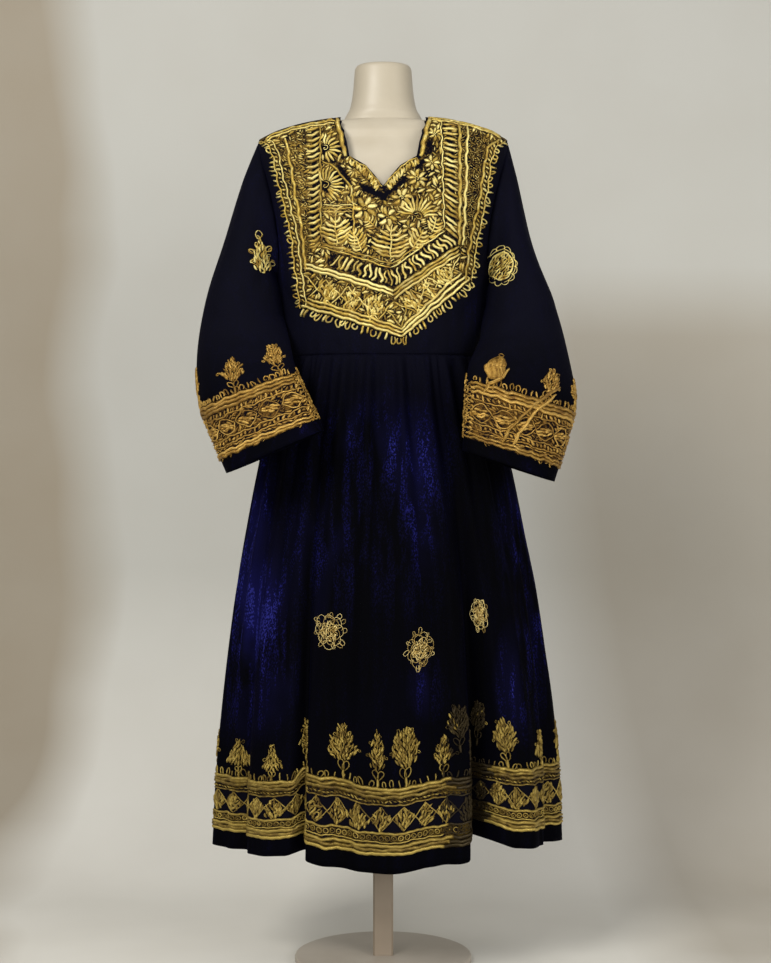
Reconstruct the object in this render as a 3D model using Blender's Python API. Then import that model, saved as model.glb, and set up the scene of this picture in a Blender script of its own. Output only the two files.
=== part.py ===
"""Kuchi dress of dark blue velvet with gold embroidery, worn by a limbless dress form on a stand.

Units are metres, +Z is up and the dress faces -Y, so the wearer's left is +X. The origin is the
middle of the stand's underside. A garment panel is a grid of outer points; its wall is closed
with the same points moved in by the cloth's thickness.
"""

import math
from collections import namedtuple

import bpy
import numpy as np

# Cloth and gaps
CLOTH = 0.0018
EMBROIDERY = 0.0012
SEAM_GAP = 0.0003
HALF_GAP = SEAM_GAP / 2

# Heights of the dress
WAIST = 1.020
UNDERARM = 1.165
SHOULDER_TIP = 1.390
NECK_POINT = 1.425
HEM_MARGIN = 0.028
HEM_BAND = 0.120

# The stand
BASE_RADIUS = 0.150
BASE_THICKNESS = 0.010
BASE_EDGE = 0.003
BASE_SIDES = 48
POST_WIDTH = 0.034
POST_EDGE = 0.003
FORM_BOTTOM = 0.700

# Squareness of the body's level sections: 2 is an ellipse
BODY_POWER = 2.2

# Level sections of the bodice, outside the cloth
BodyRing = namedtuple("BodyRing", "height half_width front back")
BODICE_RINGS = (
    BodyRing(1.020, 0.168, 0.128, 0.108),
    BodyRing(1.070, 0.168, 0.134, 0.110),
    BodyRing(1.120, 0.172, 0.143, 0.112),
    BodyRing(1.170, 0.177, 0.149, 0.115),
    BodyRing(1.220, 0.184, 0.147, 0.118),
    BodyRing(1.270, 0.195, 0.138, 0.119),
    BodyRing(1.320, 0.205, 0.122, 0.115),
    BodyRing(1.360, 0.211, 0.104, 0.102),
    BodyRing(1.390, 0.211, 0.088, 0.088),
    BodyRing(1.408, 0.170, 0.074, 0.079),
    BodyRing(1.425, 0.072, 0.062, 0.069),
)

# Height of the shoulder seam over its distance from the middle
SeamPoint = namedtuple("SeamPoint", "across height")
SHOULDER_SEAM = (
    SeamPoint(0.072, 1.425),
    SeamPoint(0.136, 1.417),
    SeamPoint(0.183, 1.404),
    SeamPoint(0.211, 1.390),
)

# Front neckline, one half, from just below the shoulder seam down to the notch
NECKLINE = (
    SeamPoint(0.0719, 1.4248),
    SeamPoint(0.0717, 1.4241),
    SeamPoint(0.0713, 1.4230),
    SeamPoint(0.0705, 1.4197),
    SeamPoint(0.0685, 1.4110),
    SeamPoint(0.0640, 1.3930),
    SeamPoint(0.0595, 1.3710),
    SeamPoint(0.0550, 1.3460),
    SeamPoint(0.0420, 1.3380),
    SeamPoint(0.0280, 1.3290),
    SeamPoint(0.0140, 1.3120),
    SeamPoint(0.0000, 1.2930),
)
NECK_SWEEP = (0, 0, 0, 0.2, 0.45, 0.7, 0.9, 1, 0.9, 0.8, 0.7, 0)
BACK_NECK_DROP = 0.016

# Armhole edges run inside the widest line of the body
ARMHOLE_INSET = 0.012

# The gold bib: side edges from the lower corner to the shoulder tip, and its lowest point
BIB_SIDE_RIGHT = (
    SeamPoint(0.136, 1.098),
    SeamPoint(0.146, 1.175),
    SeamPoint(0.151, 1.216),
    SeamPoint(0.165, 1.275),
    SeamPoint(0.177, 1.324),
    SeamPoint(0.189, 1.370),
    SeamPoint(0.210, 1.390),
)
BIB_SIDE_LEFT = (
    SeamPoint(0.145, 1.143),
    SeamPoint(0.151, 1.182),
    SeamPoint(0.156, 1.216),
    SeamPoint(0.168, 1.268),
    SeamPoint(0.176, 1.319),
    SeamPoint(0.185, 1.365),
    SeamPoint(0.210, 1.390),
)
BIB_POINT = SeamPoint(0.031, 1.045)
EDGE_MARGIN = 0.005

# Level sections of the skirt, outside the cloth and without its folds
SkirtRing = namedtuple("SkirtRing", "height half_width front back shift")
SKIRT_RINGS = (
    SkirtRing(1.020, 0.168, 0.128, 0.108, 0.000),
    SkirtRing(0.995, 0.175, 0.136, 0.118, 0.000),
    SkirtRing(0.950, 0.186, 0.143, 0.129, 0.000),
    SkirtRing(0.880, 0.203, 0.153, 0.142, 0.001),
    SkirtRing(0.820, 0.217, 0.161, 0.152, 0.003),
    SkirtRing(0.730, 0.235, 0.171, 0.163, 0.003),
    SkirtRing(0.630, 0.254, 0.181, 0.173, 0.005),
    SkirtRing(0.525, 0.268, 0.189, 0.181, 0.007),
    SkirtRing(0.430, 0.278, 0.195, 0.187, 0.008),
    SkirtRing(0.330, 0.285, 0.200, 0.192, 0.008),
    SkirtRing(0.200, 0.289, 0.204, 0.196, 0.007),
)

# Height of the hem round the skirt; angles run from the wearer's left over the front
HemPoint = namedtuple("HemPoint", "angle height")
HEM = (
    HemPoint(0, 0.208),
    HemPoint(25, 0.215),
    HemPoint(45, 0.219),
    HemPoint(57, 0.234),
    HemPoint(66, 0.204),
    HemPoint(79, 0.199),
    HemPoint(92, 0.192),
    HemPoint(106, 0.198),
    HemPoint(114, 0.205),
    HemPoint(118, 0.217),
    HemPoint(123, 0.212),
    HemPoint(145, 0.208),
    HemPoint(165, 0.209),
    HemPoint(180, 0.211),
    HemPoint(225, 0.209),
    HemPoint(270, 0.203),
    HemPoint(315, 0.209),
    HemPoint(360, 0.208),
)

# Hanging folds: reach is how far the fold stands out (or in, below zero) at the hem
Fold = namedtuple("Fold", "angle reach half_angle start")
FOLDS = (
    Fold(8, 0.010, 7, 0.72),
    Fold(22, -0.016, 8, 0.80),
    Fold(38, 0.012, 8, 0.78),
    Fold(58, -0.085, 7.5, 0.84),
    Fold(73, -0.009, 5, 0.88),
    Fold(88, 0.017, 9, 0.74),
    Fold(103, -0.010, 6, 0.84),
    Fold(118, -0.036, 3.6, 0.80),
    Fold(131, 0.010, 8, 0.80),
    Fold(147, -0.018, 8, 0.86),
    Fold(164, 0.012, 9, 0.74),
    Fold(184, -0.012, 7, 0.80),
    Fold(198, 0.013, 8, 0.78),
    Fold(214, -0.030, 7, 0.84),
    Fold(231, 0.012, 8, 0.80),
    Fold(247, -0.024, 6, 0.82),
    Fold(262, 0.014, 8, 0.76),
    Fold(279, -0.032, 7, 0.86),
    Fold(296, 0.013, 9, 0.78),
    Fold(312, -0.026, 7, 0.82),
    Fold(328, 0.012, 8, 0.76),
    Fold(345, -0.020, 8, 0.82),
)

# Gathers where the skirt is sewn to the waist: waves all round, and their height down the skirt
GATHERS = 26
GatherRow = namedtuple("GatherRow", "below_waist height")
GATHER_ROWS = (
    GatherRow(0.000, 0.0008),
    GatherRow(0.020, 0.0032),
    GatherRow(0.070, 0.0052),
    GatherRow(0.200, 0.0042),
    GatherRow(0.420, 0.0024),
    GatherRow(0.830, 0.0012),
)
SKIRT_COLUMNS = 64
EVEN_SHARE = 0.35
SKIRT_LENGTH = 0.822
SKIRT_ROWS_BELOW_WAIST = (0.0, 0.018, 0.046, 0.095, 0.165, 0.25, 0.345, 0.445, 0.555)

# Sleeve sections: the ends of the wide axis, where its middle lies in depth, how far the outer end
# lags behind that middle, and half the depth
SleeveSection = namedtuple("SleeveSection", "outer_x outer_z inner_x inner_z middle_y lag half_depth")
SLEEVE_LEFT = (
    SleeveSection(0.226, 1.330, 0.1835, 1.166, -0.004, 0.000, 0.066),
    SleeveSection(0.249, 1.220, 0.1810, 1.140, -0.012, 0.006, 0.078),
    SleeveSection(0.274, 1.120, 0.1770, 1.100, -0.036, 0.022, 0.074),
    SleeveSection(0.300, 1.030, 0.1650, 1.045, -0.074, 0.038, 0.063),
    SleeveSection(0.3135, 0.948, 0.1400, 0.992, -0.126, 0.052, 0.054),
    SleeveSection(0.297, 0.880, 0.1340, 0.926, -0.150, 0.045, 0.054),
    SleeveSection(0.273, 0.813, 0.1300, 0.860, -0.170, 0.036, 0.056),
)
SLEEVE_RIGHT = (
    SleeveSection(0.236, 1.326, 0.1835, 1.166, -0.004, 0.000, 0.066),
    SleeveSection(0.266, 1.222, 0.1810, 1.140, -0.014, 0.006, 0.078),
    SleeveSection(0.289, 1.128, 0.1740, 1.100, -0.034, 0.020, 0.074),
    SleeveSection(0.304, 1.030, 0.1600, 1.048, -0.074, 0.036, 0.063),
    SleeveSection(0.298, 0.945, 0.1450, 0.996, -0.132, 0.044, 0.055),
    SleeveSection(0.275, 0.884, 0.1200, 0.944, -0.166, 0.036, 0.056),
    SleeveSection(0.249, 0.826, 0.0944, 0.8925, -0.192, 0.026, 0.058),
)
SLEEVE_ROWS_ABOVE = 9
CUFF_ROWS = 3
CUFF_BAND = 0.100
CUFF_MARGIN = 0.023

# Level sections of the dress form below its shoulders
FormRing = namedtuple("FormRing", "height half_width front back")
FORM_TRUNK = (
    FormRing(0.700, 0.118, 0.078, 0.086),
    FormRing(0.704, 0.134, 0.090, 0.098),
    FormRing(0.722, 0.150, 0.101, 0.110),
    FormRing(0.780, 0.160, 0.108, 0.118),
    FormRing(0.860, 0.154, 0.102, 0.112),
    FormRing(0.940, 0.132, 0.090, 0.092),
    FormRing(1.030, 0.116, 0.084, 0.078),
    FormRing(1.110, 0.127, 0.104, 0.086),
    FormRing(1.180, 0.140, 0.122, 0.094),
    FormRing(1.250, 0.150, 0.115, 0.100),
    FormRing(1.310, 0.166, 0.104, 0.098),
    FormRing(1.355, 0.175, 0.086, 0.086),
    FormRing(1.385, 0.180, 0.070, 0.072),
)
FORM_NECK = (
    FormRing(1.4320, 0.0630, 0.054, 0.054),
    FormRing(1.4430, 0.0570, 0.052, 0.050),
    FormRing(1.4600, 0.0530, 0.050, 0.047),
    FormRing(1.4800, 0.0505, 0.049, 0.046),
    FormRing(1.5000, 0.0490, 0.048, 0.045),
    FormRing(1.5100, 0.0480, 0.047, 0.044),
    FormRing(1.5150, 0.0455, 0.0445, 0.0415),
    FormRing(1.5165, 0.0410, 0.040, 0.037),
)
FORM_SIDES = 28

# How far the form's shoulders lie below the dress's shoulder seams
FormShoulder = namedtuple("FormShoulder", "across drop")
FORM_SHOULDERS = (
    FormShoulder(0.184, 0.0060),
    FormShoulder(0.178, 0.0042),
    FormShoulder(0.168, 0.0033),
    FormShoulder(0.155, 0.0027),
    FormShoulder(0.136, 0.0028),
    FormShoulder(0.115, 0.0032),
    FormShoulder(0.092, 0.0038),
    FormShoulder(0.0705, 0.0044),
)

# Colours from the photograph, roughness and metal
Finish = namedtuple("Finish", "color roughness metallic")
FINISHES = {
    "velvet": Finish((0.008, 0.007, 0.032), 0.85, 0.0),
    "gold_work": Finish((0.62, 0.42, 0.11), 0.45, 0.7),
    "form": Finish((0.76, 0.70, 0.58), 0.55, 0.0),
    "stand": Finish((0.42, 0.36, 0.29), 0.5, 0.0),
}


def smooth_curve(stations, values):
    """A cubic through the table's rows that never overshoots them."""
    x = np.asarray(stations, float)
    y = np.asarray(values, float)
    order = np.argsort(x)
    x, y = x[order], y[order]
    step = np.diff(x)
    slope = np.diff(y) / step
    tangent = np.concatenate([slope[:1], np.zeros(len(x) - 2), slope[-1:]])
    product = slope[:-1] * slope[1:]
    total = slope[:-1] + slope[1:]
    same_way = product > 0
    tangent[1:-1][same_way] = 2 * product[same_way] / total[same_way]

    def at(where):
        where = np.clip(np.asarray(where, float), x[0], x[-1])
        k = np.clip(np.searchsorted(x, where) - 1, 0, len(step) - 1)
        u = (where - x[k]) / step[k]
        low = (1 + 2 * u) * (1 - u) ** 2 * y[k] + u * (1 - u) ** 2 * step[k] * tangent[k]
        high = u * u * (3 - 2 * u) * y[k + 1] - u * u * (1 - u) * step[k] * tangent[k + 1]
        return low + high

    return at


def column(table, key, over):
    """The smooth curve of one named column over another."""
    return smooth_curve([getattr(row, over) for row in table], [getattr(row, key) for row in table])


# The bodice's surface

shoulder_height = column(SHOULDER_SEAM, "height", "across")
trunk_width = column(BODICE_RINGS, "half_width", "height")
front_depth = column(BODICE_RINGS, "front", "height")
back_depth = column(BODICE_RINGS, "back", "height")
seam_across = np.linspace(SHOULDER_SEAM[-1].across, SHOULDER_SEAM[0].across, 200)
seam_heights = shoulder_height(seam_across)


def half_width(height):
    """Half the body's width; above the shoulder tips it is the shoulder seam's."""
    return np.where(
        height > SHOULDER_TIP,
        np.interp(height, seam_heights, seam_across),
        trunk_width(height),
    )


def turn_at(across, height):
    """Angle round the body's section, 0 at the side and a quarter turn at the middle."""
    share = np.abs(across) / half_width(height)
    angle = np.arccos(np.clip(share, 0, 1) ** (BODY_POWER / 2))
    return np.where(np.asarray(across) < 0, math.pi - angle, angle)


def on_section(turn, height, depth):
    """Point of the body's section at a turn and height; depth is signed towards the back."""
    power = 2 / BODY_POWER
    x = half_width(height) * np.sign(np.cos(turn)) * np.abs(np.cos(turn)) ** power
    y = depth(height) * np.abs(np.sin(turn)) ** power
    return np.stack([x, y, np.broadcast_to(height, np.shape(x))], axis=-1)


def front_side(height):
    return -front_depth(height)


def back_side(height):
    return back_depth(height)


def panel_edge(height):
    """Distance of the side seam, and above the underarm of the armhole's edge, from the middle."""
    share = np.clip((height - UNDERARM) / (SHOULDER_TIP - UNDERARM), 0, 1)
    return half_width(height) - ARMHOLE_INSET * np.sin(math.pi * share)


def normals_of(points, closed):
    """Outward unit normals of a grid of points [row, column, xyz]; rows run down or up the cloth."""
    if closed:
        padded = np.concatenate([points[:, -1:], points, points[:, :1]], axis=1)
        along = (padded[:, 2:] - padded[:, :-2]) / 2
    else:
        along = np.gradient(points, axis=1)
    across = np.gradient(points, axis=0)
    normal = np.cross(along, across)
    return normal / np.maximum(np.linalg.norm(normal, axis=2, keepdims=True), 1e-12)


def facing(points, normal, centre):
    """The normals turned to point away from a centre line of points, one for each row."""
    outward = ((points - centre[:, None, :]) * normal).sum(axis=2).mean()
    return normal if outward > 0 else -normal


# Building closed solids from grids


def material(piece_name, finish_name):
    finish = FINISHES[finish_name]
    made = bpy.data.materials.new(f"{piece_name}_{finish_name}")
    made.use_nodes = True
    shader = made.node_tree.nodes["Principled BSDF"]
    shader.inputs["Base Color"].default_value = (*finish.color, 1)
    shader.inputs["Roughness"].default_value = finish.roughness
    shader.inputs["Metallic"].default_value = finish.metallic
    return made


def add_object(name, vertices, faces, finish_name):
    mesh = bpy.data.meshes.new(name)
    mesh.from_pydata([tuple(v) for v in vertices], [], faces)
    mesh.materials.append(material(name, finish_name))
    mesh.shade_smooth()
    mesh.set_sharp_from_angle(angle=math.radians(50))
    made = bpy.data.objects.new(name, mesh)
    bpy.context.scene.collection.objects.link(made)
    return made


def signed_volume(vertices, faces):
    total = 0.0
    for face in faces:
        a = vertices[face[0]]
        for k in range(1, len(face) - 1):
            total += np.dot(a, np.cross(vertices[face[k]], vertices[face[k + 1]]))
    return total


def facing_out(vertices, faces):
    """The faces, all turned round if the closed mesh is inside out."""
    if signed_volume(vertices, faces) < 0:
        return [(face[0], *reversed(face[1:])) for face in faces]
    return faces


def short_diagonals(points, closed):
    """For each cell of a grid, whether its shorter diagonal runs from its first corner."""
    if closed:
        points = np.concatenate([points, points[:, :1]], axis=1)
    falling = np.linalg.norm(points[:-1, :-1] - points[1:, 1:], axis=2)
    rising = np.linalg.norm(points[:-1, 1:] - points[1:, :-1], axis=2)
    return falling <= rising


def wall(name, outer, inner, closed, finish_name, falling):
    """A closed solid between two grids of points, open or closed round its columns.

    falling tells for each cell which diagonal splits it, so that pieces in layers match."""
    rows, columns = outer.shape[:2]
    vertices = np.concatenate([outer.reshape(-1, 3), inner.reshape(-1, 3)])
    under = rows * columns
    last = columns if closed else columns - 1
    faces = []
    for r in range(rows - 1):
        for c in range(last):
            n = (c + 1) % columns
            a, b = r * columns + c, r * columns + n
            d, e = (r + 1) * columns + c, (r + 1) * columns + n
            split = [(a, b, e), (a, e, d)] if falling[r, c] else [(a, b, d), (b, e, d)]
            faces += split
            faces += [tuple(under + k for k in reversed(face)) for face in split]
    for c in range(last):
        n = (c + 1) % columns
        foot = (rows - 1) * columns
        faces.append((c, under + c, under + n, n))
        faces.append((foot + c, foot + n, under + foot + n, under + foot + c))
    if not closed:
        for r in range(rows - 1):
            a, d = r * columns, (r + 1) * columns
            b, e = a + columns - 1, d + columns - 1
            faces.append((a, d, under + d, under + a))
            faces.append((b, under + b, under + e, e))
    return add_object(name, vertices, facing_out(vertices, faces), finish_name)


def skin(name, rings, finish_name):
    """A closed solid from stacked closed rings, with flat ends."""
    rows, columns = rings.shape[:2]
    vertices = rings.reshape(-1, 3)
    faces = [tuple(range(columns)), tuple((rows - 1) * columns + c for c in reversed(range(columns)))]
    for r in range(rows - 1):
        for c in range(columns):
            n = (c + 1) % columns
            faces.append((r * columns + n, r * columns + c, (r + 1) * columns + c, (r + 1) * columns + n))
    return add_object(name, vertices, facing_out(vertices, faces), finish_name)


# Bodice front and back, and the bib

BIB_COLUMN = 2
ROWS_BELOW = 3
ARMHOLE_ROWS = 7
SEAM_ROWS = 4
ROWS_ABOVE = ARMHOLE_ROWS + SEAM_ROWS
TIP_ROW = ROWS_BELOW + ARMHOLE_ROWS
BACK_COLUMNS = 10
FINE = 600


def along(path, stops):
    """Points of a fine path at shares of its length, and a last margin and end point."""
    run = np.concatenate([[0], np.cumsum(np.linalg.norm(np.diff(path, axis=0), axis=1))])
    places = np.append(np.asarray(stops) * (run[-1] - EDGE_MARGIN), run[-1])
    return np.stack([np.interp(places, run, path[:, k]) for k in range(3)], axis=1)


def armhole_turn(height):
    """Turn of the armhole's edge; zero on the side seam and on the shoulder seam."""
    return np.where(
        (height > UNDERARM) & (height < SHOULDER_TIP),
        turn_at(panel_edge(height), height),
        0.0,
    )


def edge_column(depth):
    """The panel's outer edge: side seam, armhole and shoulder seam."""
    side = np.linspace(WAIST, UNDERARM, ROWS_BELOW + 1)[:-1]
    below = on_section(np.zeros(ROWS_BELOW), side, depth)
    rise = (1 - np.cos(np.linspace(0, math.pi, FINE))) / 2
    height = UNDERARM + (SHOULDER_TIP - UNDERARM) * rise
    hole = on_section(armhole_turn(height), height, depth)
    run = np.concatenate([[0], np.cumsum(np.linalg.norm(np.diff(hole, axis=0), axis=1))])
    stops = np.linspace(0, run[-1], ARMHOLE_ROWS + 1)
    hole = np.stack([np.interp(stops, run, hole[:, k]) for k in range(3)], axis=1)
    across = np.linspace(SHOULDER_SEAM[-1].across, SHOULDER_SEAM[0].across, FINE)
    seam = np.stack([across, np.zeros(FINE), shoulder_height(across)], axis=1)
    return np.concatenate([below, hole[:-1], along(seam, np.linspace(0, 1, SEAM_ROWS + 1))])


def low_rows(turn, level, depth):
    """A column's rows from the waist to just below its level, at one turn."""
    heights = np.linspace(WAIST, level, ROWS_BELOW + 1)[:-1]
    return on_section(np.full(ROWS_BELOW, turn), heights, depth)


def inner_column(part_at, sweep, level, top_height, depth):
    """A column inside the panel that rises from its level to the neckline.

    part_at gives the turn for a share of the way round; sweep is how squarely it meets the neckline."""
    share = 1 - (1 - np.linspace(0, 1, FINE)) ** 3
    rise = share + sweep * (np.sin(share * math.pi / 2) - share)
    swing = share + sweep * (1 - np.cos(share * math.pi / 2) - share)
    height = level + (top_height - level) * rise
    path = on_section(part_at(swing, height), height, depth)
    low = float(part_at(0.0, level))
    stops = np.linspace(0, 1, ROWS_ABOVE + 1)
    return np.concatenate([low_rows(low, level, depth), along(path, stops)])


def strip_column(turn_of, level, edge, depth):
    """A column close to the panel's edge, whose rows match the edge's from the shoulder tip up."""
    fine = np.linspace(level, SHOULDER_TIP, FINE)
    path = on_section(turn_of(fine), fine, depth)
    run = np.concatenate([[0], np.cumsum(np.linalg.norm(np.diff(path, axis=0), axis=1))])
    stops = np.linspace(0, run[-1], ARMHOLE_ROWS + 1)[:-1]
    low = np.stack([np.interp(stops, run, path[:, k]) for k in range(3)], axis=1)
    heights = edge[TIP_ROW:, 2] - 0.0001
    above = on_section(turn_of(heights), heights, depth)
    return np.concatenate([low_rows(float(turn_of(level)), level, depth), low, above])


def front_half(side, sign):
    """Half of the front as a grid of points; columns run from the side to the middle."""
    side_line = column(side, "across", "height")
    corner = side[0]
    point = sign * BIB_POINT.across

    def margin_turn(height):
        return np.arcsin(np.clip(EDGE_MARGIN / front_depth(height), 0, 1) ** (BODY_POWER / 2))

    def bib_turn(height):
        edge = turn_at(np.minimum(side_line(height), half_width(height)), height)
        edge = np.where(height < side[-1].height, edge, 0.0)
        return np.maximum(edge, margin_turn(height))

    def half_way(height):
        return (armhole_turn(height) + bib_turn(height)) / 2

    edge = edge_column(front_side)
    middle_level = (UNDERARM + corner.height) / 2
    columns = [
        edge,
        strip_column(half_way, middle_level, edge, front_side),
        strip_column(bib_turn, corner.height, edge, front_side),
    ]
    spread = np.cos(np.linspace(0, math.pi / 2, len(NECKLINE) + 1))[1:]
    for top, share_in, sweep in zip(NECKLINE, spread, NECK_SWEEP):
        across = point + (corner.across - point) * share_in
        level = BIB_POINT.height + (corner.height - BIB_POINT.height) * share_in
        start = (turn_at(across, level) - bib_turn(level)) / (math.pi / 2 - bib_turn(level))
        high = top.height
        end = (turn_at(top.across, high) - bib_turn(high)) / (math.pi / 2 - bib_turn(high))

        def part_at(swing, height):
            inner = bib_turn(height)
            return inner + (math.pi / 2 - inner) * (start + (end - start) * swing)

        columns.append(inner_column(part_at, sweep, level, high, front_side))
    grid = np.array(columns).transpose(1, 0, 2)
    grid[-1, -1, 0] = 0
    grid[..., 0] *= sign
    return grid


def seam_rows(grid, sign):
    """Moves a panel's side and shoulder seams half the seams' gap to its own side."""
    seams = [*range(ROWS_BELOW + 1), *range(TIP_ROW, len(grid))]
    for edge in (0, -1):
        grid[seams, edge, 1] = sign * HALF_GAP
    return grid


def bodice_normals(points):
    """Outward normals with no tilt across the seams, so that the walls meet squarely there."""
    axis = np.zeros((points.shape[0], 3))
    axis[:, 2] = points[..., 2].mean(axis=1) - 0.03
    normal = facing(points, normals_of(points, False), axis)
    normal[0, :, 2] = 0
    normal[np.abs(points[..., 1]) < 2 * HALF_GAP, 1] = 0
    return normal / np.maximum(np.linalg.norm(normal, axis=2, keepdims=True), 1e-12)


def make_front():
    left = front_half(BIB_SIDE_LEFT, 1)
    right = front_half(BIB_SIDE_RIGHT, -1)
    points = seam_rows(np.concatenate([left, right[:, -2::-1]], axis=1), -1)
    normal = bodice_normals(points)
    falling = short_diagonals(points, False)
    wall("bodice_front", points, points - normal * CLOTH, False, "velvet", falling)
    area = (slice(ROWS_BELOW, -1), slice(BIB_COLUMN, -BIB_COLUMN))
    under = points[area] + normal[area] * SEAM_GAP
    cells = falling[area]
    wall("bib", under + normal[area] * EMBROIDERY, under, False, "gold_work", cells)
    return points


def make_back():
    columns = [edge_column(back_side)]
    for part in np.sin(np.linspace(0, math.pi / 2, BACK_COLUMNS + 1))[1:]:

        def part_at(swing, height):
            edge = armhole_turn(height)
            return edge + (math.pi / 2 - edge) * part

        top = NECK_POINT - BACK_NECK_DROP * math.sin(part * math.pi / 2)
        columns.append(inner_column(part_at, 0, UNDERARM, top, back_side))
    half = np.array(columns).transpose(1, 0, 2)
    half[:, -1, 0] = 0
    other = half[:, -2::-1].copy()
    other[..., 0] *= -1
    points = seam_rows(np.concatenate([half, other], axis=1), 1)
    normal = bodice_normals(points)
    falling = short_diagonals(points, False)
    wall("bodice_back", points, points - normal * CLOTH, False, "velvet", falling)
    return points


# Skirt and hem band

skirt_width = column(SKIRT_RINGS, "half_width", "height")
skirt_front_depth = column(SKIRT_RINGS, "front", "height")
skirt_back_depth = column(SKIRT_RINGS, "back", "height")
skirt_shift = column(SKIRT_RINGS, "shift", "height")
hem_height = column(HEM, "height", "angle")
gather_height = column(GATHER_ROWS, "height", "below_waist")


def fold_reach(angle, height):
    """Sum of the hanging folds at an angle in degrees and a height."""
    total = np.zeros_like(np.broadcast_to(height, np.shape(angle)), float).copy()
    for fold in FOLDS:
        away = (angle - fold.angle + 180) % 360 - 180
        near = np.clip(np.abs(away) / fold.half_angle, 0, 1)
        grown = np.clip((fold.start - height) / (fold.start - 0.2), 0, 1) ** 0.85
        total += fold.reach * grown * np.cos(near * math.pi / 2) ** 2
    return total


def skirt_points(angle, below):
    """Points of the skirt at angles in degrees and a distance below the waist."""
    reach = (WAIST - hem_height(angle)) / SKIRT_LENGTH
    height = WAIST - below * reach
    radians = np.radians(angle)
    depth = np.where(np.sin(radians) >= 0, skirt_front_depth(height), skirt_back_depth(height))
    width = skirt_width(height)
    round_x, round_y = np.cos(radians), np.sin(radians)
    power = 2 / BODY_POWER
    x = width * np.sign(round_x) * np.abs(round_x) ** power
    y = -depth * np.sign(round_y) * np.abs(round_y) ** power
    out_x = depth * round_x
    out_y = -width * round_y
    length = np.hypot(out_x, out_y)
    wave = radians * GATHERS
    gather = gather_height(below) * (np.cos(wave) + 0.35 * np.cos(2 * wave + 1.0))
    push = fold_reach(angle, height) + gather - gather_height(below)
    push += 0.5 * gather_height(0.0)
    x = x + skirt_shift(height) + out_x / length * push
    y = y + out_y / length * push
    return np.stack([x, y, height], axis=-1)


def spread_angles(first, last):
    """Angles of the skirt's columns, closer together where the hem has deep folds."""
    fine = np.linspace(first, last, 2400)
    hem = skirt_points(fine, SKIRT_LENGTH)
    steps = np.linalg.norm(np.diff(hem, axis=0), axis=1) + np.radians(np.diff(fine)) * EVEN_SHARE
    run = np.concatenate([[0], np.cumsum(steps)])
    return np.interp(np.linspace(0, run[-1], SKIRT_COLUMNS + 1), run, fine)


def make_skirt():
    band_rows = (SKIRT_LENGTH - HEM_MARGIN - HEM_BAND, SKIRT_LENGTH - HEM_MARGIN)
    below = np.array([*SKIRT_ROWS_BELOW_WAIST, *band_rows, SKIRT_LENGTH])
    angles = np.concatenate([spread_angles(0, 180), spread_angles(180, 360)[1:-1]])
    points = np.array([skirt_points(angles, drop) for drop in below])
    points[0, :, 2] -= SEAM_GAP
    axis = np.zeros((len(below), 3))
    axis[:, 2] = points[..., 2].mean(axis=1)
    normal = facing(points, normals_of(points, True), axis)
    normal[0, :, 2] = 0
    normal /= np.linalg.norm(normal, axis=2, keepdims=True)
    halves = {
        "front": (np.arange(0, SKIRT_COLUMNS + 1), -HALF_GAP),
        "back": (np.arange(SKIRT_COLUMNS, 2 * SKIRT_COLUMNS + 1) % (2 * SKIRT_COLUMNS), HALF_GAP),
    }
    top, foot = len(SKIRT_ROWS_BELOW_WAIST), len(below) - 1
    for name, (columns, gap) in halves.items():
        outer = points[:, columns].copy()
        outward = normal[:, columns]
        for edge in (0, -1):
            outer[:, edge, 1] += gap
        falling = short_diagonals(outer, False)
        wall(f"skirt_{name}", outer, outer - outward * CLOTH, False, "velvet", falling)
        band = slice(top, foot)
        under = outer[band] + outward[band] * SEAM_GAP
        over = under + outward[band] * EMBROIDERY
        wall(f"hem_band_{name}", over, under, False, "gold_work", falling[top : foot - 1])


# Sleeves and cuff bands


def armhole_loop(front, back, sign):
    """The armhole's edge as a ring that starts at the shoulder tip and runs over the front."""
    side = 0 if sign > 0 else -1
    over_front = front[TIP_ROW : ROWS_BELOW - 1 : -1, side]
    over_back = back[ROWS_BELOW + 1 : TIP_ROW, side]
    corners = np.concatenate([over_front, over_back])
    corners[[0, len(over_front) - 1], 1] = 0
    corners[:, 0] += sign * SEAM_GAP
    loop = np.empty((2 * len(corners), 3))
    loop[::2] = corners
    loop[1::2] = (corners + np.roll(corners, -1, axis=0)) / 2
    return loop


def section_ring(section, sign, sides):
    """One sleeve section as a ring, from its outer end over the front."""
    turn = np.linspace(0, 2 * math.pi, sides + 1)[:-1, None]
    outer = np.array([section.outer_x, section.middle_y + section.lag, section.outer_z])
    inner = np.array([section.inner_x, section.middle_y - section.lag, section.inner_z])
    wide = (outer - inner) / 2
    along = wide / np.linalg.norm(wide)
    deep = np.array([0.0, -1.0, 0.0])
    deep = deep - along * deep.dot(along)
    deep = deep / np.linalg.norm(deep) * section.half_depth
    ring = (outer + inner) / 2 + wide * np.cos(turn) + deep * np.sin(turn)
    ring[:, 0] *= sign
    return ring


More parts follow.
